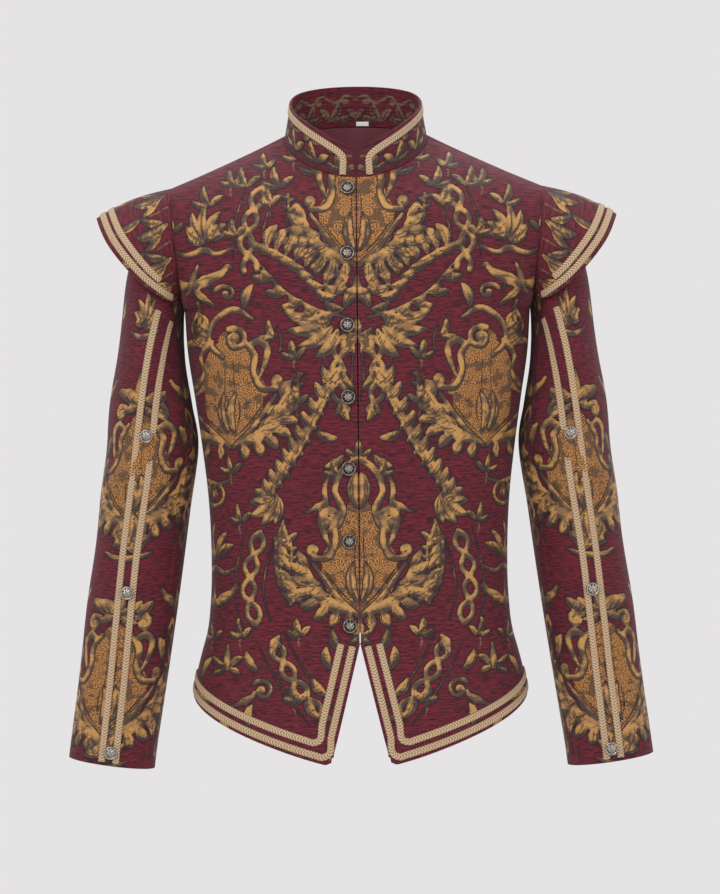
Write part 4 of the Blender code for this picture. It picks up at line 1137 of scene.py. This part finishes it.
peplumBraids = (("outer", 7.5), ("inner", 20.5))
collarBraid = (
    (10.5, 0.05), (10.5, 0.28), (10.5, 0.50), (12.0, 0.63), (16.0, 0.70), (24.0, 0.745),
    (40.0, 0.79), (60.0, 0.83), (90.0, 0.865), (130.0, 0.885), (180.0, 0.885),
)


def makeBraids(material):
    for side, place in ((-1, "front"), (1, "back")):
        points = halfPeplum(side, body["grid"])
        out = outward(points, trunkMiddle)
        across, down = runLength(points, 1), runLength(points, 0)
        rows, columns = points.shape[:2]
        for row, distance in peplumBraids:
            reach = [np.interp(distance, across[i], range(columns)) for i in range(rows)]
            lift = [np.interp(down[-1, j] - distance, down[:, j], range(rows)) for j in range(columns)]
            last = int(np.interp(down[-1, 4] - distance, down[:, 4], range(rows)))
            first = int(reach[last]) + 1
            upright = [(i, reach[i]) for i in np.linspace(2, last - 1, 7).astype(int)]
            level = [(lift[j], j) for j in np.linspace(first + 3, columns - 2, 26).astype(int)]
            line = onGrid(points, out, *np.array(upright + level, float).T)
            bothBraids(f"trim_peplum_{place}_{{}}_{row}", *line, f"peplum_braid_{place}_{{}}_{row}", material)
    points = wingPoints(body["grid"])
    out = outward(points, shoulderMiddle)
    rows = len(points)
    for row, distance in zip(("outer", "inner"), wing["braids"]):
        width = np.linalg.norm(points[-1] - points[0], axis=-1)
        kept = np.flatnonzero(width > 1.6 * distance + braid["width"])
        kept = kept[np.linspace(1, len(kept) - 2, 40).astype(int)]
        path = np.array([((rows - 1) * (1 - distance / width[j]), j) for j in kept], float)
        bothBraids(f"trim_wing_{{}}_{row}", *onGrid(points, out, *path.T), f"wing_braid_{{}}_{row}", material)
    heights = np.linspace(-184, -699, 60)
    rings = np.array(sleeve["rings"], float)
    places = np.interp(-heights, -(rings[:, 1] + rings[:, 3]) / 2, range(len(rings)))
    for row, column in (("outer", 1), ("inner", 2)):
        angles = follow(sleeve["braids"], column, heights)
        line = sleevePoint(places, angles)
        out = np.cross(sleevePoint(places, angles + 2) - line, np.gradient(line, axis=0))
        out = facingAway(out, line - armMiddle)
        bothBraids(f"trim_sleeve_{{}}_{row}", line, out, f"sleeve_braid_{{}}_{row}", material)
    half = smoothLine(np.array(collarBraid) * (1, 100), 1.5) / (1, 100)
    path = np.concatenate([half, (half * (-1, 1) + (360, 0))[-2::-1]])
    low, high = neckPoint(neckSeam, path[:, 0]), neckPoint(collarTop, path[:, 0])
    line = low + (high - low) * path[:, 1:]
    ahead = path[:, 0] + 1
    foot = neckPoint(neckSeam, ahead)
    across = foot + (neckPoint(collarTop, ahead) - foot) * path[:, 1:] - line
    out = np.cross(across, high - low)
    out = facingAway(out, line - neckMiddle)
    layBraid("trim_collar", line, out, "collar_braid", material)
    print("braid laid")


button = {
    "sides": 48,
    "profile": (        # share of the radius, height
        (0.0, -0.2), (0.24, -0.2), (0.26, 1.3), (0.92, 1.5), (0.99, 1.9), (1.0, 2.5), (0.95, 3.1), (0.87, 3.3),
        (0.8, 3.1), (0.75, 2.6), (0.7, 2.7), (0.6, 3.0), (0.48, 3.3), (0.36, 3.5), (0.24, 3.65), (0.12, 3.75),
        (0.0, 3.8),
    ),
    "frontHeights": (-54, -129.5, -212, -291.5, -371, -452.5, -547),
    "frontFromEdge": 11.0,
    "frontWidth": 16.5,
    "sleeveWidth": 15.0,
    "sleeveRaised": 0.8,
}


def makeButton(name, point, out, width, raised, node, material):        # a cast rosette in a raised rim
    user, radius = button, width / 2
    turns = np.linspace(0, 2 * math.pi, user["sides"], endpoint=False)
    share, height = np.array(user["profile"]).T
    petal = 0.5 + 0.5 * np.cos(8 * turns)
    middle = np.clip((0.78 - share) / 0.3, 0, 1) * (share > 0.06) * (height > 2)
    rise = height[:, None] + raised * (height[:, None] > 1) + 0.3 * middle[:, None] * (petal - 0.5)[None, :]
    side = np.cross(out, (0.0, 0.0, 1.0))
    side /= np.linalg.norm(side)
    up = np.cross(side, out)
    spokes = np.cos(turns)[:, None] * side + np.sin(turns)[:, None] * up
    ring = (point + 0.9 * out) + share[:, None, None] * radius * spokes[None] + rise[..., None] * out
    rows, columns = ring.shape[:2]
    faces = ringFaces(rows, columns)
    corners = ring.reshape(-1, 3)
    way = np.cross(corners[faces[:, 1]] - corners[faces[:, 0]], corners[faces[:, 2]] - corners[faces[:, 0]])
    if (way @ out)[-columns:].sum() < 0:
        faces = faces[:, ::-1]
    bright = np.maximum(petal[None, :] * middle[:, None], middle[:, None] == 0)
    high = np.clip((rise - 2.4) / 1.5, 0, 1) * (0.5 + 0.5 * bright)
    places = np.stack([(ring - point) @ side, (ring - point) @ up], -1).reshape(-1, 2) / 1000
    piece = asMesh(name, corners, faces, places, {"high": high.reshape(-1)}, material)
    seat(piece, "button", node)


def makeButtons(material):
    points, edgeRows = halfBody(-1, body["grid"])
    points = points * flip
    out = outward(points, trunkMiddle)
    across = runLength(points, 1)
    heights = points[:edgeRows, 0, 2]
    for k, height in enumerate(button["frontHeights"], 1):
        row = np.interp(height, heights, range(edgeRows))
        step = np.interp(button["frontFromEdge"], across[int(row)], range(points.shape[1]))
        point, way = onGrid(points, out, np.array([row]), np.array([step]))
        way = way[0] / np.linalg.norm(way[0])
        makeButton(f"stud_front_{k}", point[0], way, button["frontWidth"], 0.0, f"button_front_{k}", material)
    rings = np.array(sleeve["rings"], float)
    for k, height in enumerate(sleeve["buttons"], 1):
        place = np.interp(-height, -(rings[:, 1] + rings[:, 3]) / 2, range(len(rings)))
        angle = (follow(sleeve["braids"], 1, height) + follow(sleeve["braids"], 2, height)) / 2 + 2
        point = sleevePoint(place, angle)
        way = np.cross(sleevePoint(place, angle + 1) - point, sleevePoint(place + 0.05, angle) - point)
        way *= np.sign(way @ (point - armMiddle)) / np.linalg.norm(way)
        for side, turn in hands:
            sizes = button["sleeveWidth"], button["sleeveRaised"]
            makeButton(f"stud_{side}_{k}", point * turn, way * turn, *sizes, f"button_{side}_{k}", material)
    print("buttons cast")


tab = {"angle": 174.4, "half": 5.2, "low": 0.02, "high": 0.13, "inside": 2.1, "wall": 0.6}


def makeLabel(material):
    along, up = np.linspace(-1, 1, 21), np.linspace(tab["low"], tab["high"], 9)
    angle, share = np.meshgrid(along * tab["half"] + tab["angle"], up)
    low, high = neckPoint(neckSeam, angle), neckPoint(collarTop, angle)
    points = low + (high - low) * share[..., None]
    out = outward(points, neckMiddle)
    inner = points - out * tab["inside"]
    place = np.stack([runLength(inner, 1), runLength(inner, 0)], -1)
    piece = asCloth("label_tab", [(inner, -out, place, 0)], material, Figure(), tab["wall"])
    seat(piece, "label", "label")


stitch = {"length": 3.2, "gap": 1.6, "width": 0.5, "fromEdge": (1.6, 5.5), "step": 0.4, "bow": 0.32, "lift": 0.05}


def makeStitches(material):        # rows of stitches down both front edges
    points, edgeRows = halfBody(-1, body["grid"])
    out = outward(points, trunkMiddle)
    across = runLength(points, 1)
    for side, turn in hands:
        corners, faces = [], []
        for distance in stitch["fromEdge"]:
            steps = np.array([np.interp(distance, across[i], range(points.shape[1])) for i in range(edgeRows)])
            line, ways = onGrid(points, out, np.arange(edgeRows, dtype=float), steps)
            track = smoothLine(np.concatenate([line, ways], axis=1), stitch["step"])
            pitch = int((stitch["length"] + stitch["gap"]) / stitch["step"])
            for start in range(4, len(track) - pitch, pitch):
                bit = track[start : start + int(stitch["length"] / stitch["step"]) : 2]
                for q, row in enumerate(bit):
                    bow = stitch["bow"] * math.sin(math.pi * (q + 0.5) / len(bit))
                    for dx, dz in ((-1, 0), (0, 1), (1, 0)):
                        aside = np.array([dx * stitch["width"] / 2, 0, 0])
                        corners.append((row[:3] + aside + row[3:] * (stitch["lift"] + bow * dz)) * turn)
                base = len(corners) - 3 * len(bit)
                for q in range(len(bit) - 1):
                    for c in range(2):
                        a = base + 3 * q + c
                        faces.append((a, a + 1, a + 4, a + 3)[:: int(turn[0])])
        corners = np.array(corners)
        piece = asMesh(f"stitches_front_{side}", corners, np.array(faces), corners[:, ::2] / 1000, {}, material)
        seat(piece, "jacquard")
    print("edges stitched")


def makeThread():
    paint = Paint("thread", 0.6)
    fuzz = paint.noise(paint.cloth(2000, 2000), 1.0, 2.0)
    paint.feed("Base Color", paint.mix(fuzz, linear(70, 34, 38), linear(112, 62, 62)))
    return paint.material


def makeFloor():
    mesh = bpy.data.meshes.new("floor")
    z = view["floorHeight"]
    half = view["floorHalf"]
    mesh.from_pydata([(-half, -half, z), (half, -half, z), (half, half, z), (-half, half, z)], [], [(0, 1, 2, 3)])
    thing = bpy.data.objects.new("floor", mesh)
    bpy.context.scene.collection.objects.link(thing)
    paint = Paint("floor", 0.9)
    grain = paint.noise(paint.node("ShaderNodeNewGeometry", {}, {}, "Position"), 3.0)
    paint.feed("Base Color", paint.mix(grain, linear(226, 224, 225), linear(230, 228, 229)))
    mesh.materials.append(paint.material)


makeCamera()
makeLights()
makeFloor()
jacquard, lining = makeJacquard(), makeLining()
makeBody(jacquard, lining)
makeSleeves(jacquard, lining)
makeCollar(jacquard)
makeBraids(makeBraid())
makeButtons(makeSilver())
makeLabel(makeTab())
makeStitches(makeThread())

print(len(placed), "pieces")
